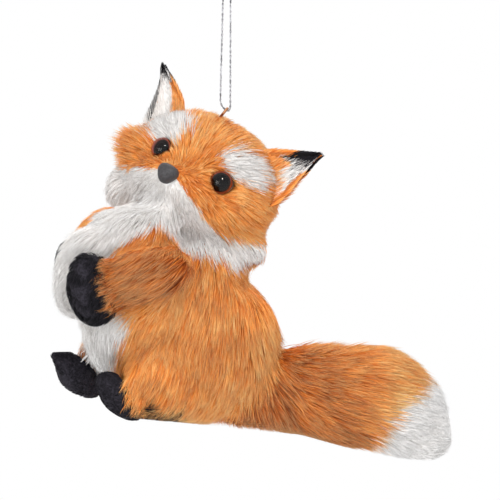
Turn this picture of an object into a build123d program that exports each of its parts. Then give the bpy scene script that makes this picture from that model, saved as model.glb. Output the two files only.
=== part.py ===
import os
from math import cos, pi, radians, sin, sqrt

from build123d import *

# Furry fox ornament that hangs on a loop of thread. Millimetres, +Z up, the fox heading to -X and the
# viewer on the -Y side. The origin is the knot that closes the loop, from which everything hangs.

# Fits
glue_gap = 0.12
running_gap = 0.05

# Thread loop and its knot
thread = 0.6
loop_drop = 40.0
knot_width = 3.2
knot_bead = 0.9
knot_beads = 3
knot_tail = 2.2
strand_shares = (-0.375, 0.3)
left_strand_bend = (-2.16, 1.1)
left_bend_radius = 2.4
wrap_start_angle = 225.0
wrap_end_angle = 360.0

# Screw eye on the crown
eye_wire = 0.8
eye_ring = 2.9
eye_lean = 40.0
eye_shank = 11.0
eye_off_middle = 3.7
eye_stand = 1.0

# Head
head_width = 54.0
head_height = 38.4
head_depth = 28.5
head_set_back = 1.5
head_swell_share = -0.06
head_tilt = 30.0
head_turn = 24.0
pelt = 4.6
core_wall = 2.2

# Muzzle, nose, eyes and brows
muzzle_width = 44.0
muzzle_height = 17.5
muzzle_reach = 20.6
muzzle_drop_share = 0.448
nose_width = 6.4
nose_depth = 3.4
nose_drop_share = 0.224
nose_corner = 1.7
nose_edge = 1.1
nose_point_share = 0.68
peg = 1.6
peg_length = 14.0
eye_width = 7.0
eye_bulge = 2.7
eye_spacing = 22.6
eye_raise = 1.3
eye_sink = 1.8
eye_turn = 20.0
pupil_width = 3.4
pupil_depth = 0.9
stem = 1.8
stem_length = 6.5
brow_length = 18.0
brow_height = 7.4
brow_thickness = 4.4
brow_spacing = 28.6
brow_raise = 8.0
brow_sink = 2.4
brow_lean = 14.0
brow_turn = 30.0
brow_swell_share = 0.1

# Ruffs on the cheeks
ruff_length = 19.0
ruff_depth = 14.0
ruff_height = 16.0
ruff_back = 8.0
ruff_lean = 30.0
ruff_place_shares = (0.73, 0.61)

# Ears
ear_length = 21.0
ear_width = 15.4
ear_thickness = 5.2
ear_lean = 37.0
ear_place_shares = (0.656, 0.36)
lining_thickness = 2.4
lining_width = 11.0
lining_length = 15.0

# Body, throat and chest
body_length = 50.0
body_width = 43.0
body_height = 60.0
body_shift = (-3.4, 5.0)
neck_sink = 3.8
body_turn = 35.0
body_lean = 15.0
body_swell_share = 0.19
dowel = 6.0
dowel_seat = 9.0
chest_height = 56.0
chest_width = 35.0
chest_depth = 31.0
chest_lean = 2.0
bib_height = 30.0
bib_width = 13.0
bib_depth = 23.0
# Places on the body: forward, to its left and up, as shares of half its length, width and height
chest_place_shares = (0.90, 0.0, 0.367)
bib_place_shares = (1.56, -0.1, 0.53)

# Front legs, each from its shoulder to its paw, placed on the body the same way
arm_width = 18.0
arm_thickness = 11.0
near_shoulder_shares = (0.88, 0.767, 0.767)
near_wrist_shares = (1.52, 0.605, 0.60)
far_shoulder_shares = (0.76, -0.628, 0.933)
far_wrist_shares = (1.32, -0.628, 0.60)
paw_length = 23.0
paw_width = 16.0
paw_thickness = 13.0
near_paw_shares = (1.76, 0.488, 0.50)
far_paw_shares = (1.38, -0.512, 0.483)
near_paw_lean = 24.0
far_paw_lean = 20.0

# Hind legs and feet
thigh_length = 37.0
thigh_height = 24.5
thigh_thickness = 14.0
thigh_place_shares = (0.52, 0.651, -0.433)
foot_length = 22.5
foot_width = 12.0
foot_height = 11.0
foot_lean = 32.0
foot_place_shares = (1.18, 0.581, -0.593)

# Tail
tail_reach = 70.8
tail_thickness = 31.2
tail_side_share = 0.86
tail_lean = 7.0
tip_lean = 40.0
tail_pad_share = 0.5
tail_wire_width = 2.5
tail_wire_bend = 16.0
# Where it starts, from the body's middle, as shares of half the body's height
tail_root_shares = (0.25, 0.217, -0.51)
# Where its white tip starts: along the tail and its drop, as shares of its reach
tip_start_shares = (0.782, 0.177)
# Along the tail, its drop and its thickness, as shares of its reach and its thickness
tail_shares = (
    (0.000, 0.000, 0.77),
    (0.169, 0.028, 0.83),
    (0.338, 0.056, 0.86),
    (0.493, 0.075, 0.95),
    (0.697, 0.093, 1.00),
    (0.810, 0.117, 0.96),
    (0.901, 0.159, 0.82),
    (0.962, 0.204, 0.61),
    (1.000, 0.244, 0.34),
)

# Across the ear and the muzzle: place along it, width and thickness, as shares of its own sizes
ear_shares = (
    (0.00, 0.94, 1.00),
    (0.30, 1.00, 0.94),
    (0.62, 0.66, 0.68),
    (0.86, 0.28, 0.40),
    (1.00, 0.07, 0.16),
)
muzzle_shares = (
    (0.16, 1.00, 1.00),
    (0.42, 0.86, 0.92),
    (0.66, 0.56, 0.72),
    (0.88, 0.30, 0.50),
    (1.00, 0.17, 0.30),
)

# Where an egg's sections lie, in degrees from its middle towards its ends
egg_turns = (-72, -45, -15, 15, 45, 72)


def oval(half_across, half_up):
    # Four arcs, each of a quarter turn.
    diagonal = sqrt(0.5)
    with BuildLine() as rim:
        for right, up in ((1, 1), (-1, 1), (-1, -1), (1, -1)):
            ThreePointArc(
                (right * half_across, 0),
                (right * half_across * diagonal, up * half_up * diagonal),
                (0, up * half_up),
            )
    make_face(rim.edges())


def loft_through(stations, mode=Mode.ADD):
    # A form through one oval for each station: its plane, half its width and half its height.
    sections = []
    for plane, half_across, half_up in stations:
        with BuildSketch(plane) as section:
            oval(half_across, half_up)
        sections.append(section.sketch)
    loft(sections, mode=mode)


def egg(form, grow=0, mode=Mode.ADD):
    # form holds its frame, its length along that frame's Z, its width, its height and how much it swells
    # towards +Z. grow is added all round.
    frame, length, width, height, swell = form
    stations = []
    for turn in egg_turns:
        along = sin(radians(turn))
        plump = cos(radians(turn)) * (1 + swell * along)
        plane = frame.offset((length / 2 + grow) * along)
        stations.append((plane, width / 2 * plump + grow, height / 2 * plump + grow))
    loft_through(stations, mode)


def rod(start, direction, length, width, mode=Mode.ADD):
    with BuildSketch(Plane(origin=start, z_dir=direction)) as section:
        Circle(width / 2)
    extrude(section.sketch, length, mode=mode)


def write(solid, name):
    solid.part.label = name
    export_step(solid.part, f"parts/{name}.step")


def spun(plane, about, degrees):
    # The plane turned about one of its own directions, by the right-hand rule.
    axis = Axis((0, 0, 0), about)
    return Plane(
        origin=plane.origin, x_dir=plane.x_dir.rotate(axis, degrees), z_dir=plane.z_dir.rotate(axis, degrees)
    )


def between(start, end, side):
    # A frame half way from start to end, its Z along the way and its X towards side.
    way = end - start
    return Plane(origin=(start + end) / 2, x_dir=side - way * (side.dot(way) / way.dot(way)), z_dir=way)


os.makedirs("parts", exist_ok=True)

# Frames: the screw eye, then the head below it, then the body below the head
ring_up = Vector(sin(radians(eye_lean)), 0, cos(radians(eye_lean)))
ring_top = Vector(0, 0, -loop_drop)
ring_middle = ring_top - ring_up * (eye_ring / 2)

facing = Plane(origin=(0, 0, 0), x_dir=(1, 0, 0), z_dir=(0, -1, 0))
tilted = spun(facing, facing.z_dir, -head_tilt)
turned = spun(tilted, tilted.y_dir, -head_turn)
head_middle = ring_middle + turned.x_dir * eye_off_middle - turned.y_dir * (head_height / 2 + eye_stand)
head_frame = Plane(origin=head_middle, x_dir=turned.x_dir, z_dir=turned.z_dir)


def on_head(across, up, forward):
    return head_frame.from_local_coords(Vector(across, up, forward))


def head_surface(across, up):
    # How far forward of the head's middle its pelt stands there.
    dome = 1 - (2 * across / head_width) ** 2 - (2 * up / head_height) ** 2
    return head_depth / 2 * sqrt(dome) - head_set_back


heading = Vector(-cos(radians(body_turn)), -sin(radians(body_turn)), 0)
neck_reach = (head_height + body_height) / 2 - neck_sink
body_middle = head_middle + Vector(*body_shift, -neck_reach)
body_frame = spun(Plane(origin=body_middle, x_dir=heading, z_dir=(0, 0, 1)), heading, -body_lean)


def on_body(forward, left, up):
    return body_frame.from_local_coords(Vector(forward, left, up))


def at_body(shares, side=1):
    # A place by its shares of the body's half sizes, mirrored to the other side by side = -1.
    forward, left, up = shares
    return on_body(forward * body_length / 2, side * left * body_width / 2, up * body_height / 2)


# Outer forms of the pelts, which the smaller ones are cut by
head_form = (head_frame.offset(-head_set_back), head_depth, head_width, head_height, head_swell_share)
body_form = (body_frame, body_height, body_length, body_width, -body_swell_share)
chest_place = Plane(origin=at_body(chest_place_shares), x_dir=body_frame.x_dir, z_dir=body_frame.z_dir)
chest_frame = spun(chest_place, chest_place.y_dir, chest_lean)
chest_form = (chest_frame, chest_height, chest_depth, chest_width, 0)
bib_frame = Plane(origin=at_body(bib_place_shares), x_dir=body_frame.x_dir, z_dir=body_frame.z_dir)
bib_form = (bib_frame, bib_height, bib_depth, bib_width, 0)


def shrunk(form, wall):
    frame, length, width, height, swell = form
    return (frame, length - 2 * wall, width - 2 * wall, height - 2 * wall, swell)


head_core_form = shrunk(head_form, pelt)
body_core_form = shrunk(body_form, pelt)

# The muzzle narrows from the cheeks to the nose
nose_drop = nose_drop_share * head_height / 2
muzzle_stations = []
for place, wide, high in muzzle_shares:
    drop_share = muzzle_drop_share + (nose_drop_share - muzzle_drop_share) * place
    drop = drop_share * head_height / 2
    plane = Plane(
        origin=on_head(0, -drop, muzzle_reach * place), x_dir=head_frame.x_dir, z_dir=head_frame.z_dir
    )
    muzzle_stations.append((plane, muzzle_width / 2 * wide, muzzle_height / 2 * high))


def grown(stations, grow):
    return [(plane, half_across + grow, half_up + grow) for plane, half_across, half_up in stations]


# Knot: thread drawn into three beads, with its two cut ends standing up
knot_top = knot_beads * knot_bead / 2
with BuildPart() as cord_knot:
    with BuildSketch(Plane.XZ):
        with BuildLine():
            Line((0, knot_top), (0, -knot_top))
            Line((0, -knot_top), (knot_width / 2, -knot_top))
            for bead in range(knot_beads):
                low = -knot_top + bead * knot_bead
                ThreePointArc(
                    (knot_width / 2, low),
                    (knot_width / 2 + knot_bead / 3, low + knot_bead / 2),
                    (knot_width / 2, low + knot_bead),
                )
            Line((knot_width / 2, knot_top), (0, knot_top))
        make_face()
    revolve(axis=Axis.Z)
    for share in strand_shares:
        rod(Vector(share * knot_width / 2, 0, knot_top), Vector(share, 0, 1), knot_tail, thread)
write(cord_knot, "cord_knot")

# Loop of thread: down on the left, tightly round the top of the ring, and up on the right
turn_radius = eye_wire / 2 + thread / 2 + running_gap
corner_turn = (wrap_end_angle - wrap_start_angle) / 4
corner_reach = turn_radius / cos(radians(corner_turn))


def wrap_corner(degrees):
    return ring_top + Vector(cos(radians(degrees)), 0, sin(radians(degrees))) * corner_reach


strand_start = -knot_top - running_gap
loop_points = [
    Vector(strand_shares[0] * knot_width, 0, strand_start),
    ring_top + Vector(left_strand_bend[0], 0, left_strand_bend[1]),
    wrap_corner(wrap_start_angle + corner_turn),
    wrap_corner(wrap_end_angle - corner_turn),
    Vector(strand_shares[1] * knot_width, 0, strand_start),
]
loop_radii = [left_bend_radius, turn_radius, turn_radius]
with BuildPart() as hanging_cord:
    with BuildLine() as route:
        FilletPolyline(*loop_points, radius=loop_radii)
    with BuildSketch(Plane(origin=route.line @ 0, z_dir=route.line % 0)):
        Circle(thread / 2)
    sweep()
write(hanging_cord, "hanging_cord")
loop_length = route.wire().length
thread_section = pi * thread**2 / 4
print("thread radii", loop_radii, "length", loop_length)
print("thread volume", hanging_cord.part.volume, "section times length", thread_section * loop_length)

# Screw eye: a wire ring on a pointed shank
shank_start = ring_middle - ring_up * (eye_ring / 2)
with BuildPart() as screw_eye:
    with BuildSketch(Plane(origin=ring_middle, x_dir=ring_up, z_dir=(0, 1, 0))):
        with Locations((eye_ring / 2, 0)):
            Circle(eye_wire / 2)
    revolve(axis=Axis(ring_middle, Vector(0, 1, 0).cross(ring_up)))
    rod(shank_start, -ring_up, eye_shank, eye_wire)
write(screw_eye, "screw_eye")

# Neck dowel, seated in both cores
dowel_start = on_head(0, -head_height / 2 + pelt + dowel_seat, -head_set_back)
dowel_end = on_body(0, 0, body_height / 2 - pelt - dowel_seat)
dowel_way = dowel_end - dowel_start
with BuildPart() as neck_dowel:
    rod(dowel_start, dowel_way, dowel_way.length, dowel)
write(neck_dowel, "neck_dowel")

# Eyes: a clear dome over a black pupil, whose stem is stuck into the head
eye_frames = {}
for side, across in (("left", 1), ("right", -1)):
    depth = head_surface(eye_spacing / 2, eye_raise) - eye_sink
    place = Plane(
        origin=on_head(across * eye_spacing / 2, eye_raise, depth),
        x_dir=head_frame.x_dir,
        z_dir=head_frame.z_dir,
    )
    eye_frames[side] = spun(place, place.y_dir, across * eye_turn)


def dome_radius():
    return (eye_width**2 / 4 + eye_bulge**2) / (2 * eye_bulge)


def nose_frame():
    return Plane(origin=on_head(0, -nose_drop, muzzle_reach), x_dir=head_frame.x_dir, z_dir=head_frame.z_dir)


def eye_room(side):
    # The room that an eye takes out of the fur round it.
    frame = eye_frames[side]
    start = frame.origin - frame.z_dir * pupil_depth
    rod(start, frame.z_dir, eye_bulge * 3, eye_width + glue_gap * 2, Mode.SUBTRACT)


def stem_room(side):
    frame = eye_frames[side]
    length = stem_length + glue_gap
    rod(frame.origin, -frame.z_dir, length, stem + glue_gap * 2, Mode.SUBTRACT)


for side, frame in eye_frames.items():
    with BuildPart() as eye_dome:
        with BuildSketch(Plane(origin=frame.origin, x_dir=frame.x_dir, z_dir=-frame.y_dir)):
            with BuildLine():
                Line((0, 0), (eye_width / 2, 0))
                RadiusArc((eye_width / 2, 0), (0, eye_bulge), -dome_radius())
                Line((0, eye_bulge), (0, 0))
            make_face()
        revolve(axis=Axis(frame.origin, frame.z_dir))
        rod(frame.origin, frame.z_dir, pupil_depth, pupil_width + glue_gap * 2, Mode.SUBTRACT)
    write(eye_dome, f"eye_{side}")

    with BuildPart() as eye_stem:
        disc = pupil_depth - glue_gap
        rod(frame.origin + frame.z_dir * disc, -frame.z_dir, disc, pupil_width)
        rod(frame.origin, -frame.z_dir, stem_length, stem)
    write(eye_stem, f"eye_pupil_{side}")

# Nose: a rounded triangle with its point down, on a peg
with BuildPart() as nose:
    with BuildSketch(nose_frame()) as outline:
        RegularPolygon(nose_width * nose_point_share, 3, rotation=-90)
        fillet(outline.vertices(), nose_corner)
    extrude(amount=nose_depth)
    front = nose.faces().sort_by(Axis(nose_frame().origin, nose_frame().z_dir))[-1]
    fillet(front.edges(), nose_edge)
    rod(nose_frame().origin, -head_frame.z_dir, peg_length, peg)
write(nose, "nose")


def peg_room():
    rod(nose_frame().origin, -head_frame.z_dir, peg_length + glue_gap, peg + glue_gap * 2, Mode.SUBTRACT)


def dowel_room():
    rod(dowel_start - dowel_way.normalized() * glue_gap, dowel_way, dowel_way.length + glue_gap * 2,
        dowel + glue_gap * 2, Mode.SUBTRACT)


def shank_room():
    # The room that the shank takes, and the lower part of the ring.
    room = eye_wire + glue_gap * 2
    across = Vector(0, 1, 0).cross(ring_up)
    rod(ring_middle, -ring_up, eye_ring / 2 + eye_shank + glue_gap, room, Mode.SUBTRACT)
    rod(ring_middle - across * (room / 2), across, room, eye_ring + room, Mode.SUBTRACT)


# Hollow head core and the pelt over it
with BuildPart() as head_core:
    egg(head_core_form)
    egg(shrunk(head_core_form, core_wall), mode=Mode.SUBTRACT)
    dowel_room()
    shank_room()
    peg_room()
    for side in eye_frames:
        stem_room(side)
write(head_core, "head_core")

with BuildPart() as head_fur:
    egg(head_form)
    egg(head_core_form, glue_gap, Mode.SUBTRACT)
    dowel_room()
    shank_room()
    peg_room()
    for side in eye_frames:
        stem_room(side)
        eye_room(side)
write(head_fur, "head_fur")

with BuildPart() as muzzle_fur:
    loft_through(muzzle_stations)
    egg(head_form, glue_gap, Mode.SUBTRACT)
    peg_room()
    for side in eye_frames:
        eye_room(side)
write(muzzle_fur, "muzzle_fur")

# Ruffs, brows and ears, alike on both sides
ruff_aside = ruff_place_shares[0] * head_width / 2
ruff_drop = ruff_place_shares[1] * head_height / 2
ear_aside = ear_place_shares[0] * head_width / 2
ear_raise = ear_place_shares[1] * head_height / 2
brow_depth = head_surface(brow_spacing / 2, brow_raise) - brow_sink
ruff_forms = []
for side, across in (("left", 1), ("right", -1)):
    ruff_place = Plane(
        origin=on_head(across * ruff_aside, -ruff_drop, -ruff_back),
        x_dir=head_frame.z_dir,
        z_dir=head_frame.x_dir * across,
    )
    ruff_frame = spun(ruff_place, head_frame.z_dir, -across * ruff_lean)
    ruff_form = (ruff_frame, ruff_length, ruff_depth, ruff_height, 0)
    ruff_forms.append(ruff_form)
    with BuildPart() as ruff:
        egg(ruff_form)
        egg(head_form, glue_gap, Mode.SUBTRACT)
        egg(body_core_form, glue_gap, Mode.SUBTRACT)
        loft_through(grown(muzzle_stations, glue_gap), Mode.SUBTRACT)
    write(ruff, f"cheek_{side}")

    brow_place = Plane(
        origin=on_head(across * brow_spacing / 2, brow_raise, brow_depth),
        x_dir=head_frame.y_dir,
        z_dir=head_frame.x_dir * across,
    )
    brow_turned = spun(brow_place, head_frame.y_dir, across * brow_turn)
    brow_frame = spun(brow_turned, head_frame.z_dir, -across * brow_lean)
    brow_form = (brow_frame, brow_length, brow_height, brow_thickness, brow_swell_share)
    with BuildPart() as brow:
        egg(brow_form)
        egg(head_form, glue_gap, Mode.SUBTRACT)
        for eye_side in eye_frames:
            eye_room(eye_side)
    write(brow, f"brow_{side}")

    lean = radians(ear_lean)
    ear_way = head_frame.y_dir * cos(lean) + head_frame.x_dir * (across * sin(lean))
    ear_side = head_frame.x_dir * cos(lean) - head_frame.y_dir * (across * sin(lean))
    ear_base = on_head(across * ear_aside, ear_raise, -head_set_back)
    lining_base = ear_base + ear_way * (ear_length - lining_length) / 2
    ear_stations = []
    lining_stations = []
    for place, wide, thick in ear_shares:
        plane = Plane(origin=ear_base + ear_way * (ear_length * place), x_dir=ear_side, z_dir=ear_way)
        ear_stations.append((plane, ear_width / 2 * wide, ear_thickness / 2 * thick))
        front = lining_base + head_frame.z_dir * (ear_thickness / 2 * thick)
        plane = Plane(origin=front + ear_way * (lining_length * place), x_dir=ear_side, z_dir=ear_way)
        lining_stations.append((plane, lining_width / 2 * wide, lining_thickness / 2 * thick))
    with BuildPart() as ear:
        loft_through(ear_stations)
        egg(head_form, glue_gap, Mode.SUBTRACT)
    write(ear, f"ear_{side}")

    with BuildPart() as ear_lining:
        loft_through(lining_stations)
        loft_through(grown(ear_stations, glue_gap), Mode.SUBTRACT)
        egg(head_form, glue_gap, Mode.SUBTRACT)
        egg(brow_form, glue_gap, Mode.SUBTRACT)
    write(ear_lining, f"ear_lining_{side}")

# Tail: its bent wire, its padding, its pelt and its white tip
tail_root = body_middle + Vector(*tail_root_shares) * (body_height / 2)


def on_tail(along, drop):
    return tail_root + Vector(tail_reach * along, 0, -tail_reach * drop)


tail_places = [on_tail(along, drop) for along, drop, thick in tail_shares]


def tail_stations(share):
    stations = []
    way = Vector(cos(radians(tail_lean)), 0, -sin(radians(tail_lean)))
    for place, (along, drop, thick) in zip(tail_places, tail_shares):
        half = tail_thickness / 2 * thick * share
        stations.append((Plane(origin=place, x_dir=(0, 1, 0), z_dir=way), half * tail_side_share, half))
    return stations


wire_points = [tail_root, tail_places[2], tail_places[4], tail_places[5]]


def along_tail_wire(width, mode=Mode.ADD):
    with BuildLine() as wire_route:
        FilletPolyline(*wire_points, radius=tail_wire_bend)
    with BuildSketch(Plane(origin=wire_route.line @ 0, z_dir=wire_route.line % 0)) as section:
        Circle(width / 2)
    sweep(section.sketch, path=wire_route.line, mode=mode)


tip_way = Vector(cos(radians(tip_lean)), 0, -sin(radians(tip_lean)))
tip_plane = Plane(origin=on_tail(*tip_start_shares), z_dir=tip_way)
with BuildPart() as tail_wire:
    along_tail_wire(tail_wire_width)
write(tail_wire, "tail_wire")

with BuildPart() as body_core:
    egg(body_core_form)
    egg(shrunk(body_core_form, core_wall), mode=Mode.SUBTRACT)
    egg(head_form, glue_gap, Mode.SUBTRACT)
    dowel_room()
    along_tail_wire(tail_wire_width + glue_gap * 2, Mode.SUBTRACT)
write(body_core, "body_core")

with BuildPart() as tail_core:
    loft_through(tail_stations(tail_pad_share))
    egg(body_form, glue_gap, Mode.SUBTRACT)
    split(bisect_by=tip_plane.offset(-glue_gap), keep=Keep.BOTTOM)
    along_tail_wire(tail_wire_width + glue_gap * 2, Mode.SUBTRACT)
write(tail_core, "tail_core")

with BuildPart() as tail_fur:
    loft_through(tail_stations(1))
    split(bisect_by=tip_plane.offset(-glue_gap), keep=Keep.BOTTOM)
    egg(body_form, glue_gap, Mode.SUBTRACT)
    loft_through(grown(tail_stations(tail_pad_share), glue_gap), Mode.SUBTRACT)
write(tail_fur, "tail_fur")

with BuildPart() as tail_tip:
    loft_through(tail_stations(1))
    split(bisect_by=tip_plane, keep=Keep.TOP)
    along_tail_wire(tail_wire_width + glue_gap * 2, Mode.SUBTRACT)
write(tail_tip, "tail_tip")


# Pelts of the body
def head_room():
    egg(head_form, glue_gap, Mode.SUBTRACT)
    loft_through(grown(muzzle_stations, glue_gap), Mode.SUBTRACT)
    for ruff_form in ruff_forms:
        egg(ruff_form, glue_gap, Mode.SUBTRACT)


with BuildPart() as body_fur:
    egg(body_form)
    egg(body_core_form, glue_gap, Mode.SUBTRACT)
    head_room()
    dowel_room()
    along_tail_wire(tail_wire_width + glue_gap * 2, Mode.SUBTRACT)
write(body_fur, "body_fur")

with BuildPart() as chest_fur:
    egg(chest_form)
    egg(bib_form)
    egg(body_form, glue_gap, Mode.SUBTRACT)
    head_room()
write(chest_fur, "chest_fur")

def trunk_room():
    egg(body_form, glue_gap, Mode.SUBTRACT)
    egg(chest_form, glue_gap, Mode.SUBTRACT)
    egg(bib_form, glue_gap, Mode.SUBTRACT)


# Legs: the fox's left side is the near one
for side, shoulder, wrist, paw_place, paw_lean, aside in (
    ("left", near_shoulder_shares, near_wrist_shares, near_paw_shares, near_paw_lean, 1),
    ("right", far_shoulder_shares, far_wrist_shares, far_paw_shares, far_paw_lean, -1),
):
    arm_frame = between(at_body(shoulder), at_body(wrist), body_frame.y_dir)
    arm_reach = (at_body(wrist) - at_body(shoulder)).length + arm_width
    arm_form = (arm_frame, arm_reach, arm_thickness, arm_width, 0)
    with BuildPart() as arm:
        egg(arm_form)
        trunk_room()
        head_room()
    write(arm, f"arm_{side}")

    paw_start = Plane(origin=at_body(paw_place), x_dir=body_frame.y_dir, z_dir=-body_frame.z_dir)
    paw_frame = spun(paw_start, body_frame.y_dir, paw_lean)
    with BuildPart() as paw:
        egg((paw_frame, paw_length, paw_thickness, paw_width, 0))
        egg(arm_form, glue_gap, Mode.SUBTRACT)
        trunk_room()
    write(paw, f"paw_{side}")

    thigh_place = at_body(thigh_place_shares, aside)
    thigh_frame = Plane(origin=thigh_place, x_dir=body_frame.y_dir, z_dir=body_frame.x_dir)
    thigh_form = (thigh_frame, thigh_length, thigh_thickness, thigh_height, 0)
    with BuildPart() as thigh:
        egg(thigh_form)
        trunk_room()
    write(thigh, f"leg_{side}")

    foot_place = at_body(foot_place_shares, aside)
    foot_start = Plane(origin=foot_place, x_dir=body_frame.y_dir, z_dir=body_frame.x_dir)
    foot_frame = spun(foot_start, body_frame.y_dir, -foot_lean)
    with BuildPart() as foot:
        egg((foot_frame, foot_length, foot_width, foot_height, 0))
        trunk_room()
        egg(thigh_form, glue_gap, Mode.SUBTRACT)
    write(foot, f"foot_{side}")
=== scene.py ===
import math

import bpy
import numpy as np
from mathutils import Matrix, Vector, kdtree
from mathutils.bvhtree import BVHTree


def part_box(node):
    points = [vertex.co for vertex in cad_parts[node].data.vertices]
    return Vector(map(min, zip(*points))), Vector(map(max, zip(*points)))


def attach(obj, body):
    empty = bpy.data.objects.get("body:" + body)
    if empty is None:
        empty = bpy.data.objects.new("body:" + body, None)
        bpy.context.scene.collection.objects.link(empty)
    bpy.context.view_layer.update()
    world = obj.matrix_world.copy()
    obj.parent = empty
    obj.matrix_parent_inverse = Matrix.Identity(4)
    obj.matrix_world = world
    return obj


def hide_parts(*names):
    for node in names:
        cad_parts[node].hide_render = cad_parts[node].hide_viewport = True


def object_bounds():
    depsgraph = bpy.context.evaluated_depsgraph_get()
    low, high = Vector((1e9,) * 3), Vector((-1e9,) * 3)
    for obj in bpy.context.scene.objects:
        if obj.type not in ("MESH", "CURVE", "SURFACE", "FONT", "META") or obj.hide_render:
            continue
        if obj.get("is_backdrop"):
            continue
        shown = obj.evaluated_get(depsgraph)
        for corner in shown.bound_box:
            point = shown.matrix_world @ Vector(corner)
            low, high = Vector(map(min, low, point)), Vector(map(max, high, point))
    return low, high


# Furry fox ornament on a loop of thread. Metres, +Z up, the fox heading to -X, the viewer on the -Y side.
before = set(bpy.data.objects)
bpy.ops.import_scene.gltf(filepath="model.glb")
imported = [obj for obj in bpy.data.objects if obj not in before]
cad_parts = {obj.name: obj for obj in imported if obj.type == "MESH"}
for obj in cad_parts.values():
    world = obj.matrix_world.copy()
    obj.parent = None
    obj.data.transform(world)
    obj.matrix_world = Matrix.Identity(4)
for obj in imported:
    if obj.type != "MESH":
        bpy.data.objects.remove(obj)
cadLow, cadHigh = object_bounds()
mm = 0.001
print("frame loaded", len(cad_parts), "nodes")


def point(x, y, z):
    return np.array((x, y, z)) * mm


def unit(v):
    return v / np.maximum(np.linalg.norm(v, axis=-1, keepdims=True), 1e-12)


# Places on the fox, as its frame has them
headAt = point(-8.105, -1.505, -60.295)
headRight = np.array((0.7912, -0.4067, -0.4568))
headUp = np.array((0.5, 0.0, 0.866))
headFront = np.array((-0.3522, -0.9135, 0.2034))
bodyAt = point(-11.505, 3.495, -105.695)
bodyLeft = np.array((0.554, -0.7912, -0.2588))
bodyUp = np.array((0.1485, -0.212, 0.9659))
eyePlaces = {
    "Left": (point(-1.898, -14.877, -62.377), unit(np.array((-0.0604, -0.9976, 0.0349)))),
    "Right": (point(-19.779, -5.684, -52.054), unit(np.array((-0.6016, -0.7193, 0.3473)))),
}
noseAt = point(-17.511, -20.324, -59.829)


def inHead(spots):
    # Millimetres across, up and to the front of the head
    rel = (spots - headAt) / mm
    return rel @ headRight, rel @ headUp, rel @ headFront


# Small helpers


def addObject(name, data):
    added = bpy.data.objects.new(name, data)
    bpy.context.scene.collection.objects.link(added)
    return added


def meshOf(name, verts, faces):
    mesh = bpy.data.meshes.new(name)
    mesh.from_pydata([tuple(v) for v in verts], [], [tuple(int(i) for i in f) for f in faces])
    return mesh


def addPiece(name, mesh, node=None, body="fox"):
    mesh.polygons.foreach_set("use_smooth", np.ones(len(mesh.polygons), bool))
    piece = addObject(name, mesh)
    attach(piece, body)
    if node:
        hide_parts(node)
    return piece


def meshPiece(name, shape, materials, node=None, body="fox"):
    mesh = meshOf(name, *shape)
    mesh.update()
    for material in materials:
        mesh.materials.append(material)
    return addPiece(name, mesh, node, body)


def band(rows, columns, start=0, closed=True):
    # Faces between rows of points, each row a ring where it is closed
    faces = []
    for i in range(rows - 1):
        a, b = start + i * columns, start + (i + 1) * columns
        for j in range(columns if closed else columns - 1):
            k = (j + 1) % columns
            faces.append((a + j, a + k, b + k, b + j))
    return faces


def capped(rows, columns):
    last = (rows - 1) * columns
    return band(rows, columns) + [tuple(range(columns))[::-1], tuple(range(last, last + columns))]


def merged(shapes):
    verts, faces, start = [], [], 0
    for partVerts, partFaces in shapes:
        faces += [tuple(i + start for i in f) for f in partFaces]
        verts.append(partVerts)
        start += len(partVerts)
    return np.concatenate(verts), faces


def treeOf(verts, tris):
    return BVHTree.FromPolygons([Vector(v) for v in verts], [tuple(int(i) for i in t) for t in tris])


def drift(spots, size, seed):
    # Slow waves over the coat, about -1 to 1
    rng = np.random.default_rng(seed)
    ways = unit(rng.normal(size=(7, 3)))
    return np.sin(spots @ ways.T * (2 * math.pi / size) + rng.uniform(0, 2 * math.pi, 7)).mean(1) * 1.8


def easeIn(x, low, high):
    t = np.clip((x - low) / (high - low), 0, 1)
    return t * t * (3 - 2 * t)


def feed(tree, node, values):
    # An input takes another node's output, or else a number or a colour.
    for key, value in values.items():
        if isinstance(value, bpy.types.NodeSocket):
            tree.links.new(value, node.inputs[key])
        else:
            node.inputs[key].default_value = value


def addNode(tree, kind, values=None, **settings):
    node = tree.nodes.new("ShaderNode" + kind)
    for key, value in settings.items():
        setattr(node, key, value)
    feed(tree, node, values or {})
    return node


def newMaterial(name):
    material = bpy.data.materials.new(name)
    material.use_nodes = True
    return material, material.node_tree, material.node_tree.nodes["Principled BSDF"]


# Camera and stage

cameraView = {"middle": (0.00675, -0.0825), "distance": 2.0, "across": 0.150, "sensor": 36}
lampLooks = {
    "keyLamp": {"place": (0.26, -0.85, 0.6), "size": 0.2, "power": 5.8},
    "fillLamp": {"place": (-0.6, -0.9, -0.15), "size": 0.7, "power": 5.2},
    "backLamp": {"place": (0.2, 0.9, 0.6), "size": 0.8, "power": 4.0},
}
foxMiddle = (0.005, 0, -0.09)
ambient = 0.95
floorLook = {"height": -0.32, "half": 1.2, "glow": 0.6}

camData = bpy.data.cameras.new("camera")
camData.sensor_width = cameraView["sensor"]
camData.lens = cameraView["sensor"] * cameraView["distance"] / cameraView["across"]
camData.clip_start, camData.clip_end = 0.05, 20
camera = addObject("camera", camData)
camera.location = (cameraView["middle"][0], -cameraView["distance"], cameraView["middle"][1])
camera.rotation_euler = (math.radians(90), 0, 0)
bpy.context.scene.camera = camera

for name, look in lampLooks.items():
    lampData = bpy.data.lights.new(name, "AREA")
    lampData.size, lampData.energy = look["size"], look["power"]
    lamp = addObject(name, lampData)
    lamp.location = look["place"]
    lamp.rotation_euler = (Vector(foxMiddle) - Vector(look["place"])).to_track_quat("-Z", "Y").to_euler()


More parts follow.
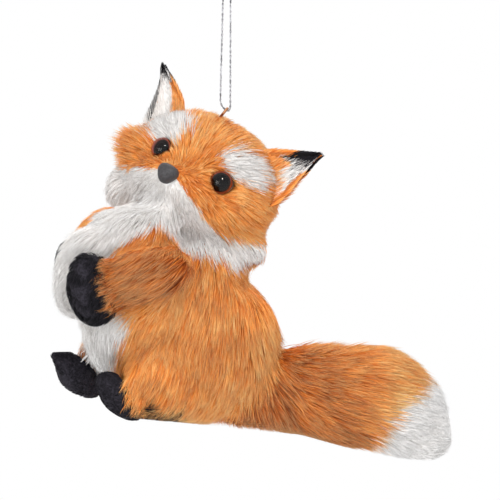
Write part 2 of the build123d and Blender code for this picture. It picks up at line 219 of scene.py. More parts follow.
def seenWhite(tree):
    # White for what sees the backdrop directly, in a reflection or through glass; otherwise the plain light.
    path = addNode(tree, "LightPath").outputs
    seen = path["Is Camera Ray"]
    for other in ("Is Transmission Ray", "Is Glossy Ray"):
        seen = addNode(tree, "Math", {0: seen, 1: path[other]}, operation="MAXIMUM").outputs[0]
    return seen


world = bpy.data.worlds.new("studio")
bpy.context.scene.world = world
world.use_nodes = True
worldTree = world.node_tree
worldTree.nodes.clear()
plainLight = addNode(worldTree, "Background", {"Color": (0.97, 0.98, 1.0, 1), "Strength": ambient})
backdrop = addNode(worldTree, "Background", {"Color": (1, 1, 1, 1), "Strength": 1})
chosen = addNode(
    worldTree, "MixShader", {0: seenWhite(worldTree), 1: plainLight.outputs[0], 2: backdrop.outputs[0]}
)
addNode(worldTree, "OutputWorld", {0: chosen.outputs[0]})
bpy.context.scene.view_settings.view_transform = "Standard"


def makeFloor():
    half = floorLook["half"]
    corners = [(x * half, y * half, floorLook["height"]) for x, y in ((-1, -1), (1, -1), (1, 1), (-1, 1))]
    mesh = meshOf("paleFloor", corners, [(0, 1, 2, 3)])
    material, tree, shade = newMaterial("palePaper")
    feed(tree, shade, {"Base Color": (0.92, 0.92, 0.92, 1), "Roughness": 0.9})
    glow = addNode(tree, "Emission", {"Strength": 1})
    share = addNode(tree, "Math", {0: seenWhite(tree), 1: floorLook["glow"]}, operation="MULTIPLY")
    above = addNode(tree, "MixShader", {0: share.outputs[0], 1: shade.outputs[0], 2: glow.outputs[0]})
    facing = addNode(tree, "NewGeometry")
    clear = addNode(tree, "BsdfTransparent")
    sides = {0: facing.outputs["Backfacing"], 1: above.outputs[0], 2: clear.outputs[0]}
    feed(tree, tree.nodes["Material Output"], {0: addNode(tree, "MixShader", sides).outputs[0]})
    mesh.materials.append(material)
    addObject("paleFloor", mesh)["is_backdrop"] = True


makeFloor()
print("camera, lamps and floor made")

# Materials


def newGroup(name, inputs, outputs):
    group = bpy.data.node_groups.new(name, "ShaderNodeTree")
    for label, value in inputs.items():
        kind = "NodeSocketColor" if isinstance(value, tuple) else "NodeSocketFloat"
        group.interface.new_socket(label, in_out="INPUT", socket_type=kind).default_value = value
    for label, kind in outputs.items():
        group.interface.new_socket(label, in_out="OUTPUT", socket_type=kind)
    return group, group.nodes.new("NodeGroupInput").outputs, group.nodes.new("NodeGroupOutput")


def rampColour(tree, stops, value, interpolation="EASE"):
    node = addNode(tree, "ValToRGB", {0: value})
    ramp = node.color_ramp
    ramp.interpolation = interpolation
    while len(ramp.elements) < len(stops):
        ramp.elements.new(0.5)
    for element, (place, colour) in zip(ramp.elements, stops):
        element.position = place
        element.color = (*srgb(*colour), 1)
    return node.outputs[0]


def srgb(*colour):
    return tuple(((c / 255 + 0.055) / 1.055) ** 2.4 if c > 10 else c / 255 / 12.92 for c in colour)


def furToneGroup():
    # Light and dark along a hair: dull at the root, clear in the middle and thin and pale at the tip.
    group, enter, leave = newGroup("furTone", {
        "Coat": (0.8, 0.5, 0.2, 1), "Root": (0.4, 0.2, 0.1, 1), "Tip": (1, 0.8, 0.5, 1),
        "Along": 0.5, "Root Share": 0.6, "Tip Share": 0.3,
    }, {"Color": "NodeSocketColor"})
    colour = enter["Coat"]
    for end, place in (("Root", 0.0), ("Tip", 1.0)):
        reach = {"From Min": 0.55, "From Max": place, "Value": enter["Along"]}
        near = addNode(group, "MapRange", reach, interpolation_type="SMOOTHSTEP").outputs[0]
        share = addNode(group, "Math", {0: near, 1: enter[end + " Share"]}, operation="MULTIPLY").outputs[0]
        mixed = addNode(group, "Mix", data_type="RGBA")
        feed(group, mixed, {"Factor": share, "A": colour, "B": enter[end]})
        colour = mixed.outputs["Result"]
    feed(group, leave, {"Color": colour})
    return group


furTone = furToneGroup()


def ownMap(tree):
    # The map of a strand or an iris
    place = addNode(tree, "UVMap", uv_map="OFBake").outputs[0]
    return place, addNode(tree, "SeparateXYZ", {0: place}).outputs


def furMaterial(name, look):
    material, tree, shade = newMaterial(name)
    split = ownMap(tree)[1]
    tone = addNode(tree, "Group", node_tree=furTone)
    feed(tree, tone, {
        "Coat": rampColour(tree, look["tones"], split["X"], "LINEAR"), "Along": split["Y"],
        "Root": (*srgb(*look["root"]), 1), "Tip": (*srgb(*look["tip"]), 1),
        "Root Share": look["rootShare"], "Tip Share": look["tipShare"],
    })
    feed(tree, shade, {
        "Base Color": tone.outputs["Color"], "Roughness": look["roughness"],
        "Specular IOR Level": look["shine"],
    })
    return material


furLooks = {
    "gingerFur": {
        "tones": [
            (0.0, (140, 62, 16)), (0.25, (202, 100, 30)), (0.5, (244, 144, 53)), (0.75, (255, 182, 96)),
            (1.0, (255, 222, 156)),
        ],
        "root": (168, 78, 24), "tip": (255, 224, 160), "rootShare": 0.65, "tipShare": 0.42,
        "roughness": 0.5, "shine": 0.3,
    },
    "whiteFur": {
        "tones": [(0.0, (200, 194, 189)), (0.4, (240, 236, 232)), (1.0, (254, 252, 250))],
        "root": (226, 220, 214), "tip": (255, 254, 252), "rootShare": 0.5, "tipShare": 0.5,
        "roughness": 0.6, "shine": 0.25,
    },
    "blackFur": {
        "tones": [(0.0, (12, 11, 14)), (0.6, (24, 22, 28)), (1.0, (66, 62, 70))],
        "root": (12, 11, 13), "tip": (44, 41, 48), "rootShare": 0.7, "tipShare": 0.4,
        "roughness": 0.6, "shine": 0.2,
    },
}
coatMaterials = [furMaterial(name, look) for name, look in furLooks.items()]
ginger, white, black = 0, 1, 2


def grainGroup():
    # Fine uneven grain: a mask for colour and a bumped normal, by the size of its grains in metres.
    group, enter, leave = newGroup(
        "fineGrain", {"Grain Size": 0.0005, "Roughening": 0.5, "Depth": 0.0001},
        {"Mask": "NodeSocketFloat", "Normal": "NodeSocketVector"},
    )
    scale = addNode(group, "Math", {1: enter["Grain Size"]}, operation="DIVIDE")
    scale.inputs[0].default_value = 1
    noise = addNode(group, "TexNoise", {
        "Detail": 4, "Vector": addNode(group, "TexCoord").outputs["Object"], "Scale": scale.outputs[0],
        "Roughness": enter["Roughening"],
    })
    mask = noise.outputs["Fac"]
    bump = addNode(group, "Bump", {"Distance": enter["Depth"], "Height": mask})
    feed(group, leave, {"Mask": mask, "Normal": bump.outputs[0]})
    return group


fineGrain = grainGroup()


def grainMaterial(name, dark, light, grain, depth, roughness, metallic=0.0, shine=0.5):
    material, tree, shade = newMaterial(name)
    group = addNode(tree, "Group", node_tree=fineGrain)
    feed(tree, group, {"Grain Size": grain * mm, "Depth": depth * mm})
    mask = group.outputs["Mask"]
    rough = addNode(tree, "MapRange", {"To Min": roughness - 0.1, "To Max": roughness + 0.1, "Value": mask})
    feed(tree, shade, {
        "Base Color": rampColour(tree, [(0.3, dark), (0.7, light)], mask), "Normal": group.outputs["Normal"],
        "Roughness": rough.outputs[0], "Metallic": metallic, "Specular IOR Level": shine,
    })
    return material


# Dark and light colour, size and depth of the grain in millimetres, roughness, metal and shine
grainLooks = {
    "gingerHide": ((196, 100, 40), (232, 136, 62), 0.8, 0.2, 0.9, 0.0, 0.1),
    "whiteHide": ((232, 229, 226), (248, 246, 244), 0.8, 0.2, 0.9, 0.0, 0.1),
    "earFelt": ((168, 164, 162), (206, 202, 200), 0.8, 0.2, 0.9, 0.0, 0.1),
    "blackSuede": ((26, 24, 28), (50, 47, 54), 0.6, 0.25, 0.9, 0.0, 0.12),
    "nosePlastic": ((44, 42, 44), (62, 60, 62), 0.35, 0.04, 0.5, 0.0, 0.4),
    "copperWire": ((120, 74, 46), (196, 140, 100), 0.6, 0.03, 0.32, 0.9),
    "paperPulp": ((150, 134, 110), (196, 180, 152), 1.2, 0.2, 0.9),
    "mouldedPadding": ((176, 168, 150), (206, 200, 184), 2.0, 0.2, 0.7),
    "dowelWood": ((168, 128, 84), (212, 176, 128), 1.5, 0.1, 0.7),
    "drawnSteel": ((120, 120, 124), (170, 170, 174), 0.4, 0.02, 0.35, 1.0),
    "blackGloss": ((3, 2, 2), (6, 4, 4), 0.6, 0.01, 0.6, 0.0, 0.0),
    "metallicThread": ((84, 83, 86), (208, 208, 212), 0.5, 0.05, 0.34, 0.7),
}
grained = {name: grainMaterial(name, *look) for name, look in grainLooks.items()}

for node, name in {
    "head_core": "paperPulp", "body_core": "paperPulp", "tail_core": "mouldedPadding",
    "neck_dowel": "dowelWood", "tail_wire": "drawnSteel", "screw_eye": "copperWire",
}.items():
    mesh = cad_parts[node].data
    mesh.materials.clear()
    mesh.materials.append(grained[name])
print("materials made")

# Thread loop

threadLoop = {
    "diameter": 0.0006,
    "length": 0.0801,
    "twist": 0.0030,
    "plies": 2,
    # down on the left, round the top of the ring and up on the right, as its solid runs
    "points": [
        (-1.2, 0, -1.4), (-2.07, 0, -35.2), (-2.16, 0, -38.9), (-0.176, 0, -40.885), (0.88, 0, -40.52),
        (0.86, 0, -36.9), (0.96, 0, -1.4),
    ],
}
knotLook = {"turns": 3, "pitch": 0.9, "radius": 1.35, "core": 1.05, "tail": 3.4, "diameter": 0.0007}


def splinePoints(points, resolution=24):
    # The line of a smooth spline through a route, read from the spline itself
    data = bpy.data.curves.new("route", "CURVE")
    data.dimensions = "3D"
    spline = data.splines.new("NURBS")
    spline.points.add(len(points) - 1)
    for place, p in zip(spline.points, points):
        place.co = (*(c * mm for c in p), 1)
    spline.order_u = 3
    spline.use_endpoint_u = True
    spline.resolution_u = resolution
    guide = addObject("route", data)
    bpy.context.view_layer.update()
    mesh = bpy.data.meshes.new_from_object(guide)
    line = np.array([v.co for v in mesh.vertices])
    bpy.data.objects.remove(guide)
    bpy.data.meshes.remove(mesh)
    bpy.data.curves.remove(data)
    return line


def evenly(line, count):
    reach = np.concatenate([[0], np.cumsum(np.linalg.norm(np.diff(line, axis=0), axis=1))])
    at = np.linspace(0, reach[-1], count)
    return np.stack([np.interp(at, reach, line[:, i]) for i in range(3)], 1), reach[-1]


def carried(line):
    # Two directions across the line at each point, which turn with it and don't spin
    ways = unit(np.gradient(line, axis=0))
    side = unit(np.cross(ways[0], (0, 1, 0)))
    sides = []
    for way in ways:
        side = unit(side - way * (side @ way))
        sides.append(side)
    sides = np.array(sides)
    return sides, np.cross(ways, sides)


def tube(line, radius, sides):
    a, b = carried(line)
    angles = (np.arange(sides) * 2 * math.pi / sides)[None, :, None]
    rings = line[:, None] + radius * (np.cos(angles) * a[:, None] + np.sin(angles) * b[:, None])
    return rings.reshape(-1, 3), capped(len(line), sides)


def pliedThread(line, count, diameter):
    # Plies that wind round the line, each a fine round yarn
    spots, reach = evenly(line, count)
    a, b = carried(spots)
    plyRadius = diameter * 0.25
    plies = []
    for ply in range(threadLoop["plies"]):
        turns = np.linspace(0, reach, count) / threadLoop["twist"] + ply / threadLoop["plies"]
        turn = (turns * 2 * math.pi)[:, None]
        plies.append(tube(spots + plyRadius * (np.cos(turn) * a + np.sin(turn) * b), plyRadius, 6))
    return merged(plies)


route = splinePoints(threadLoop["points"])
routeLine, routeLength = evenly(route, 160)
loop = meshPiece(
    "threadLoop", pliedThread(route, 460, threadLoop["diameter"]), [grained["metallicThread"]],
    "hanging_cord", "loop",
)


def makeKnot():
    # Three turns drawn round the two strands, with the two cut ends standing up
    turns = np.linspace(0, knotLook["turns"] * 2 * math.pi, 90)
    rise, reach = knotLook["pitch"] * mm, knotLook["radius"] * mm
    high = turns / (2 * math.pi) * rise - knotLook["turns"] * rise / 2
    coil = np.stack([np.cos(turns) * reach, np.sin(turns) * reach, high], 1)
    shapes = [pliedThread(coil, 220, knotLook["diameter"])]
    for side in (-1, 1):
        strand = np.array([
            (side * 0.55, 0, -1.3), (side * 0.5, 0.1, 0), (side * 0.45, 0, 1.3), (side * 0.55, 0, 2.3),
            (side * 0.75, 0.1, knotLook["tail"]),
        ]) * mm
        shapes.append(pliedThread(evenly(strand, 30)[0], 60, knotLook["diameter"]))
    core = np.array([(0, 0, z) for z in (-1.35, -0.6, 0.2, 0.9, 1.35)]) * mm
    shapes.append(tube(core, knotLook["core"] * mm, 12))
    return meshPiece("threadKnot", merged(shapes), [grained["metallicThread"]], "cord_knot", "knot")


knot = makeKnot()
print("thread loop made", round(routeLength, 4), "m")

# Hides under the fur

depsgraph = bpy.context.evaluated_depsgraph_get()
skins = {}


def triangles(faces):
    made = []
    for f in faces:
        made.append(f[:3])
        if len(f) == 4:
            made.append((f[0], f[2], f[3]))
    return np.array(made)


def acrossFaces(verts, tris):
    corners = verts[tris]
    return np.cross(corners[:, 1] - corners[:, 0], corners[:, 2] - corners[:, 0])


def vertexNormals(verts, tris):
    normals = np.zeros_like(verts)
    for i in range(3):
        np.add.at(normals, tris[:, i], acrossFaces(verts, tris))
    return unit(normals)


def outerSkin(node, rings=36, spokes=56, smoothing=2):
    # A closed, evened skin over the node's outer surface
    low, high = (np.array(c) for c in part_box(node))
    middle, size = (low + high) / 2, high - low
    longest = int(np.argmax(size))
    pole = np.eye(3)[longest]
    side = np.cross(pole, np.eye(3)[(longest + 1) % 3])
    other = np.cross(pole, side)
    tree = BVHTree.FromObject(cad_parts[node], depsgraph)
    far = float(np.linalg.norm(size))
    ways = [pole]
    for p in np.linspace(0, math.pi, rings + 2)[1:-1]:
        for a in np.arange(spokes) * 2 * math.pi / spokes:
            ways.append(math.cos(p) * pole + math.sin(p) * (math.cos(a) * side + math.sin(a) * other))
    verts = []
    for way in unit(np.array(ways + [-pole]) * size):
        hit = tree.ray_cast(Vector(middle + way * far), Vector(-way), far)[0]
        verts.append(hit or tree.find_nearest(Vector(middle))[0])
    verts = np.array(verts)
    for _ in range(smoothing):
        grid = verts[1:-1].reshape(rings, spokes, 3)
        ends = [np.repeat(end[:, None], spokes, 1) for end in (verts[:1], verts[-1:])]
        padded = np.concatenate([ends[0], grid, ends[1]])
        around = (padded[:-2] + padded[2:] + np.roll(grid, 1, 1) + np.roll(grid, -1, 1)) / 4
        verts[1:-1] = (grid * 0.5 + around * 0.5).reshape(-1, 3)
        verts[0] = verts[0] * 0.5 + grid[0].mean(0) * 0.5
        verts[-1] = verts[-1] * 0.5 + grid[-1].mean(0) * 0.5
    faces = band(rings, spokes, 1)
    bottom = 1 + (rings - 1) * spokes
    for j in range(spokes):
        k = (j + 1) % spokes
        faces += [(0, 1 + k, 1 + j), (1 + rings * spokes, bottom + j, bottom + k)]
    normals = vertexNormals(verts, triangles(faces))
    if ((verts - middle) * normals).sum() < 0:
        faces = [f[::-1] for f in faces]
        normals = -normals
    return verts, faces, normals


def keepSkin(name, verts, tris, normals):
    skins[name] = {
        "verts": verts, "normals": normals, "tris": tris, "tree": treeOf(verts, tris),
        "low": verts.min(0) - 0.001, "high": verts.max(0) + 0.001,
    }


def faceLine(spots):
    # Where the ginger of the face ends, by the place across it
    return np.interp(
        inHead(spots)[0],
        [-27, -17.4, -10.6, -5.4, 0, 3.7, 9.6, 16.6, 22.5, 28],
        [-9.5, -8.5, -6.2, -4.6, -3.7, -4.9, -8.4, -13.2, -10.0, -7.0],
    )


browLook = {"across": 14.6, "up": 9.0, "lean": math.radians(-17), "long": (8.8, 7.7), "tall": (5.6, 4.6)}


def browPatch(spots):
    # Below 1 inside the white patch over either eye
    across, up, front = inHead(spots)
    long, tall = (np.where(across < 0, *browLook[size]) for size in ("long", "tall"))
    lean, out, over = browLook["lean"], np.abs(across) - browLook["across"], up - browLook["up"]
    along = out * math.cos(lean) + over * math.sin(lean)
    beside = over * math.cos(lean) - out * math.sin(lean)
    return (along / long) ** 2 + (beside / tall) ** 2 + 4.0 * (front < -2)


def facePaint(spots, wander=0.0):
    # Ginger above the line that runs from the nose over the cheeks, white below it and over the eyes.
    up, front = inHead(spots)[1:]
    below = up < faceLine(spots) + wander
    back = (front < -9) | (spots[:, 2] < (-87.5 + wander) * mm)
    return np.where((below & ~back) | (browPatch(spots) < 1 + wander * 0.5), white, ginger)


def chestPaint(spots, wander=0.0):
    rel = (spots - bodyAt) / mm
    left, up = rel @ bodyLeft, rel @ bodyUp
    edge = np.interp(up, [-20, -12, -5, 4, 15, 25, 33, 42], [1.0, 3.7, 9.0, 12.5, 9.0, 5.0, 9.3, 13.0])
    return np.where((left > edge + wander) | (left < -12.5 + wander), ginger, white)


def gingerPaint(spots, wander=0.0):
    return np.full(len(spots), ginger)


def tailPaint(spots, wander=0.0):
    beyond = ((spots - point(51.36, 10.0, -133.53)) / mm) @ np.array((0.766, 0, -0.643))
    return np.where(beyond > wander * 1.8 - 2.4, white, ginger)


# Each part of the coat: its node, the depth of its fur in millimetres, the rule of its colours and its slot
hides = {
    "headHide": ("head_fur", 2.3, facePaint, "ginger_fur"),
    "muzzleHide": ("muzzle_fur", 1.2, facePaint, "white_fur"),
    "ruffHideLeft": ("cheek_left", 2.4, facePaint, "white_fur"),
    "ruffHideRight": ("cheek_right", 2.4, facePaint, "white_fur"),
    "browHideLeft": ("brow_left", 1.5, facePaint, "white_fur"),
    "browHideRight": ("brow_right", 1.5, facePaint, "white_fur"),
    "bodyHide": ("body_fur", 2.5, gingerPaint, "ginger_fur"),
    "chestHide": ("chest_fur", 2.3, chestPaint, "white_fur"),
    "armHideLeft": ("arm_left", 2.2, gingerPaint, "ginger_fur"),
    "armHideRight": ("arm_right", 2.4, gingerPaint, "ginger_fur"),
    "legHideLeft": ("leg_left", 2.4, gingerPaint, "ginger_fur"),
    "legHideRight": ("leg_right", 3.4, gingerPaint, "ginger_fur"),
    "tailHide": ("tail_fur", 3.0, tailPaint, "ginger_fur"),
    "tailTipHide": ("tail_tip", 1.3, tailPaint, "white_fur"),
}
# Hollows and fuller places of the form: x, z, reach and how much deeper it lies, in millimetres
formTouches = [
    (-33, -50, 6, -2.6), (-36, -62, 7, -0.9), (-17, -69.5, 5, -1.6), (-39, -73, 6, -2.2),
    (13, -100, 7, -2.4), (8, -88, 5, 3.0), (43, -116, 9, -1.8), (58, -143, 6, -1.6),
]
# Size of its cells, rounds of evening, the puffing out that fills its folds, thickness of the felt, how much
# slimmer the tail's tip is on top and how much fuller the rims of the eyes are
coatForm = {"voxel": 0.95, "evening": 16, "bridging": 1.7, "felt": 0.5, "slimTip": 1.0, "eyeRim": 1.0}


def named(*parts):
    # The numbers of the hides whose names start so
    return [i for i, name in enumerate(hides) if name.startswith(parts)]


def joinedForm():
    # The parts of the coat run together into one even form, as glued pelts do. They are puffed out first
    # and drawn in again later, which fills the folds between them.
    puffed = coatForm["bridging"] * mm
    parts = [skins[name] for name in hides]
    mesh = meshOf("joinedForm", *merged([(s["verts"] + s["normals"] * puffed, s["tris"]) for s in parts]))
    form = addObject("joinedForm", mesh)
    join = form.modifiers.new("join", "REMESH")
    join.mode = "VOXEL"
    join.voxel_size = coatForm["voxel"] * mm
    even = form.modifiers.new("even", "SMOOTH")
    even.factor = 0.5
    even.iterations = coatForm["evening"]
    bpy.context.view_layer.update()
    made = form.evaluated_get(bpy.context.evaluated_depsgraph_get())
    evened = made.to_mesh()
    verts = np.array([v.co for v in evened.vertices])
    faces = [tuple(p.vertices) for p in evened.polygons]
    made.to_mesh_clear()
    bpy.data.objects.remove(form)
    bpy.data.meshes.remove(mesh)
    return verts, faces


def hideShares(spots):
    # How much say each part of the coat has at each spot, by its distance
    shares = []
    for name in hides:
        skin = skins[name]
        far = np.full(len(spots), 0.03)
        near = ((spots > skin["low"] - 0.007) & (spots < skin["high"] + 0.007)).all(1)
        for i in np.nonzero(near)[0]:
            far[i] = skin["tree"].find_nearest(Vector(spots[i]))[3]
        shares.append(np.exp(-far / (1.5 * mm)) + 1e-9)
    shares = np.array(shares)
    return shares / shares.sum(0)


for name, hide in hides.items():
    verts, faces, normals = outerSkin(hide[0])
    keepSkin(name, verts, triangles(faces), normals)

formVerts, formFaces = joinedForm()
formTris = triangles(formFaces)
formNormals = vertexNormals(formVerts, formTris)
shares = hideShares(formVerts)
depth = shares.T @ np.array([h[1] for h in hides.values()])
formX, formZ = formVerts[:, 0] / mm, formVerts[:, 2] / mm
depth += coatForm["slimTip"] * easeIn(formX, 46, 60) * easeIn(formZ, -136, -124)
for x, z, reach, deeper in formTouches:
    depth += deeper * np.exp(-((np.hypot(formX - x, formZ - z) / reach) ** 2))
for centre, axis in eyePlaces.values():
    depth -= coatForm["eyeRim"] * easeIn(-np.linalg.norm(formVerts - centre, axis=1) / mm, -7.5, -4.0)
formVerts = formVerts - formNormals * ((depth + coatForm["bridging"]) * mm)[:, None]
formRegion = shares.argmax(0)
formTree = treeOf(formVerts, formTris)


def inSocket(spots):
    # The round places that the eyes take
    taken = np.zeros(len(spots), bool)
    for centre, axis in eyePlaces.values():
        rel = spots - centre
        high = rel @ axis
        taken |= (np.linalg.norm(rel - high[:, None] * axis, axis=1) < 0.0034) & (np.abs(high) < 0.006)
    return taken


def makeHides():
    middles = np.array([formVerts[list(f)].mean(0) for f in formFaces])
    owner = np.array([np.bincount(formRegion[list(f)]).argmax() for f in formFaces])
    free = ~inSocket(middles)
    for number, (name, (node, _, paint, slot)) in enumerate(hides.items()):
        chosen = np.nonzero((owner == number) & free)[0]
        mine = [np.array(formFaces[i]) for i in chosen]
        used = np.unique(np.concatenate(mine))
        place = np.full(len(formVerts), -1)
        place[used] = np.arange(len(used))
        felts = [grained["gingerHide"], grained["whiteHide"]]
        piece = meshPiece(name, (formVerts[used], [place[f] for f in mine]), felts)
        piece.data.polygons.foreach_set("material_index", paint(middles[chosen]).astype(np.int32))
        felt = piece.modifiers.new("felt", "SOLIDIFY")
        felt.thickness = coatForm["felt"] * mm
        felt.offset = -1
        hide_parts(node)


makeHides()

# Paws and feet of black suede, whose nap is short: their nodes and how deep they lie in millimetres
suedes = {
    "pawSuedeLeft": ("paw_left", 0.7), "pawSuedeRight": ("paw_right", 0.7),
    "footSuedeLeft": ("foot_left", 0.3), "footSuedeRight": ("foot_right", 0.2),
}
# How far each foot draws in to its toe, and where the far foot's top is flat
footLook = {
    "way": np.array((-0.616, -0.5988, 0.5119)), "length": 22.5, "longer": 0.16, "top": -113.2, "soft": 0.5,
    "points": {"footSuedeLeft": 0.3, "footSuedeRight": 0.8},
}


def pointedToe(verts, middle, toe):
    # Draws the front half of a foot in to its toe, from below and from the sides
    way = footLook["way"]
    rel = (verts - middle) / mm
    along = rel @ way
    toward = toe * easeIn(along, 0, footLook["length"] / 2)
    axis = np.outer(along, way)
    rise = unit(np.cross(np.cross(way, (0, 0, 1)), way))
    up = (rel - axis) @ rise
    side = rel - axis - np.outer(up, rise)
    keel = 1 - toward
    top = up * np.where(up > 0, 1.0, keel) + toward
    axis = axis * (1 + footLook["longer"] * toward)[:, None]
    return middle + (axis + side * keel[:, None] + np.outer(top, rise)) * mm


for name, (node, sink) in suedes.items():
    verts, faces, normals = outerSkin(node)
    verts = verts - normals * sink * mm
    if name in footLook["points"]:
        verts = pointedToe(verts, verts.mean(0), footLook["points"][name])
    if name == "footSuedeRight":
        soft = footLook["soft"]
        above = verts[:, 2] / mm - footLook["top"]
        verts[:, 2] -= soft * mm * np.log1p(np.exp(above / soft))
    meshPiece(name, (verts, faces), [grained["blackSuede"]], node)
    keepSkin(name, verts, triangles(faces), vertexNormals(verts, triangles(faces)))
print("hides made,", len(formFaces), "faces in the joined form")

# Ears

earLook = {"length": 20.6, "cup": 3.0, "flatter": 0.55, "curl": 0.9, "thickness": 0.9, "back": -1.6}
# Half its width along each ear, and how far it bows towards the middle of the head, both in millimetres
earShapes = {
    "Left": ([0.0, 0.25, 0.5, 0.73, 0.9, 1.0], [8.6, 7.4, 5.0, 2.7, 1.0, 0.1], 0.3),
    "Right": ([0.0, 0.25, 0.5, 0.73, 0.9, 1.0], [6.4, 5.2, 3.5, 1.8, 0.7, 0.1], 1.5),
}
# The middle of its base, the way to its tip and the way out across it
earPlaces = {
    "Left": (
        point(9.893, -7.339, -62.704), np.array((0.8754, -0.2448, 0.4167)),
        np.array((0.3309, -0.3248, -0.886)),
    ),
    "Right": (
        point(-18.133, 7.07, -46.523), np.array((-0.0768, 0.2448, 0.9665)),
        -np.array((0.9328, -0.3248, 0.1564)),
    ),
}


def earSpot(side, along, across, lift=0.0):
    # along runs from base to tip, across from the inner edge, -1, to the outer edge, 1.
    base, way, outward = earPlaces[side]
    places, halves, bow = earShapes[side]
    off = np.interp(along, places, halves) * across - bow * np.sin(math.pi * along)
    cup = earLook["cup"] * across**2 * (1 - earLook["flatter"] * along)
    deep = (earLook["back"] + cup + earLook["curl"] * along**2 + lift) * mm
    return (
        base + way * (earLook["length"] * mm * along)[..., None] + outward * (off * mm)[..., None]
        + headFront * deep[..., None]
    )


def sheet(top, under, turned):
    # A closed sheet between two grids of points
    rows, columns = top.shape[:2]
    count = rows * columns
    faces = []
    for f in band(rows, columns, closed=False):
        faces += [f, tuple(count + i for i in f[::-1])]
    grid = np.arange(count).reshape(rows, columns)
    edge = [*grid[0], *grid[1:, -1], *grid[-1, -2::-1], *grid[-2:0:-1, 0]]
    faces += [(b, a, count + a, count + b) for a, b in zip(edge, edge[1:] + edge[:1])]
    if turned:
        faces = [f[::-1] for f in faces]
    return np.concatenate([top.reshape(-1, 3), under.reshape(-1, 3)]), faces


def makeEar(side):
    half = earLook["thickness"] / 2
    along, across = np.meshgrid(np.linspace(0, 1, 22), np.linspace(-1, 1, 13), indexing="ij")
    rim = (1 - across**2) ** 0.5  # thins to its edge
    front, back = (earSpot(side, along, across, lift * rim) for lift in (half, -half * 1.6))
    shape = sheet(front, back, side == "Right")
    meshPiece("earShell" + side, shape, [grained["gingerHide"]], "ear_" + side.lower())
    # The pale lining is a thin felt laid in the cup.
    along, across = np.meshgrid(np.linspace(0.08, 0.86, 16), np.linspace(-0.82, 0.82, 9), indexing="ij")
    top, under = (earSpot(side, along, across, lift) for lift in (half + 0.2, half * 0.6))
    shape = sheet(top, under, side == "Right")
    meshPiece("earLining" + side, shape, [grained["earFelt"]], "ear_lining_" + side.lower())


for side in earPlaces:
    makeEar(side)
print("ears made")

# Growing fur


def scatter(verts, tris, normals, count, rng):
    areas = np.linalg.norm(acrossFaces(verts, tris), axis=1)
    chosen = tris[rng.choice(len(areas), count, p=areas / areas.sum())]
    a, b = rng.random(count), rng.random(count)
    flip = a + b > 1
    a[flip], b[flip] = 1 - a[flip], 1 - b[flip]
    weights = np.stack([1 - a - b, a, b], 1)[:, :, None]
    return (verts[chosen] * weights).sum(1), unit((normals[chosen] * weights).sum(1))


def inside(spots, names, margin=0.0):
    # True where one of the named skins covers the spot
    hidden = np.zeros(len(spots), bool)
    for name in names:
        skin = skins[name]
        near = ((spots > skin["low"]) & (spots < skin["high"])).all(1) & ~hidden
        for i in np.nonzero(near)[0]:
            place, normal, _, _ = skin["tree"].find_nearest(Vector(spots[i]))
            hidden[i] = (Vector(spots[i]) - place).dot(normal) < margin
    return hidden


def nearestOn(tree, spots):
    places, normals = np.empty_like(spots), np.empty_like(spots)
    for i, spot in enumerate(spots):
        places[i], normals[i], _, _ = tree.find_nearest(Vector(spot))
    return places, normals


def level(ways, normals):
    return unit(ways - normals * (ways * normals).sum(-1, keepdims=True))


def layStrands(roots, normals, look, steps, tree):
    # Each strand creeps over the hide in its own direction and rises from root to tip.
    ways = level(look["ways"], normals)
    spots = np.empty((len(roots), steps + 1, 3))
    spots[:, 0] = roots
    base, up, way = roots, normals, ways
    start = ways + normals * look["lift"][:, None]
    for k in range(1, steps + 1):
        share = k / steps
        base, upNear = nearestOn(tree, base + way * (look["length"] / steps)[:, None])
        up = unit(up * 0.5 + upNear * 0.5)
        way = level(way + np.array((0, 0, -1)) * 0.3 / steps, up)
        straight = roots + start * (look["length"] * share)[:, None]
        crept = base + up * (look["rise"] * share**0.7)[:, None]
        spots[:, k] = straight * (1 - look["follow"])[:, None] + crept * look["follow"][:, None]
    return spots


# The paw or foot that the strands of a part of the coat pass over, and how much further they reach over it
overSuedes = {
    "armHideLeft": ("pawSuedeLeft", 0.0), "legHideLeft": ("footSuedeLeft", 1.2),
    "chestHide": ("footSuedeRight", 3.4),
}
# How far above and below a strand the suede is looked for, how fast the strand falls and climbs, how high it
# goes at most, how far it keeps off at its root and more at its tip, and the least share that is left of it
climb = {
    "above": 9.0, "reach": 14.0, "fall": 0.6, "rise": 0.8, "most": 5.0, "clear": 0.5, "tip": 1.2,
    "least": 0.35,
}


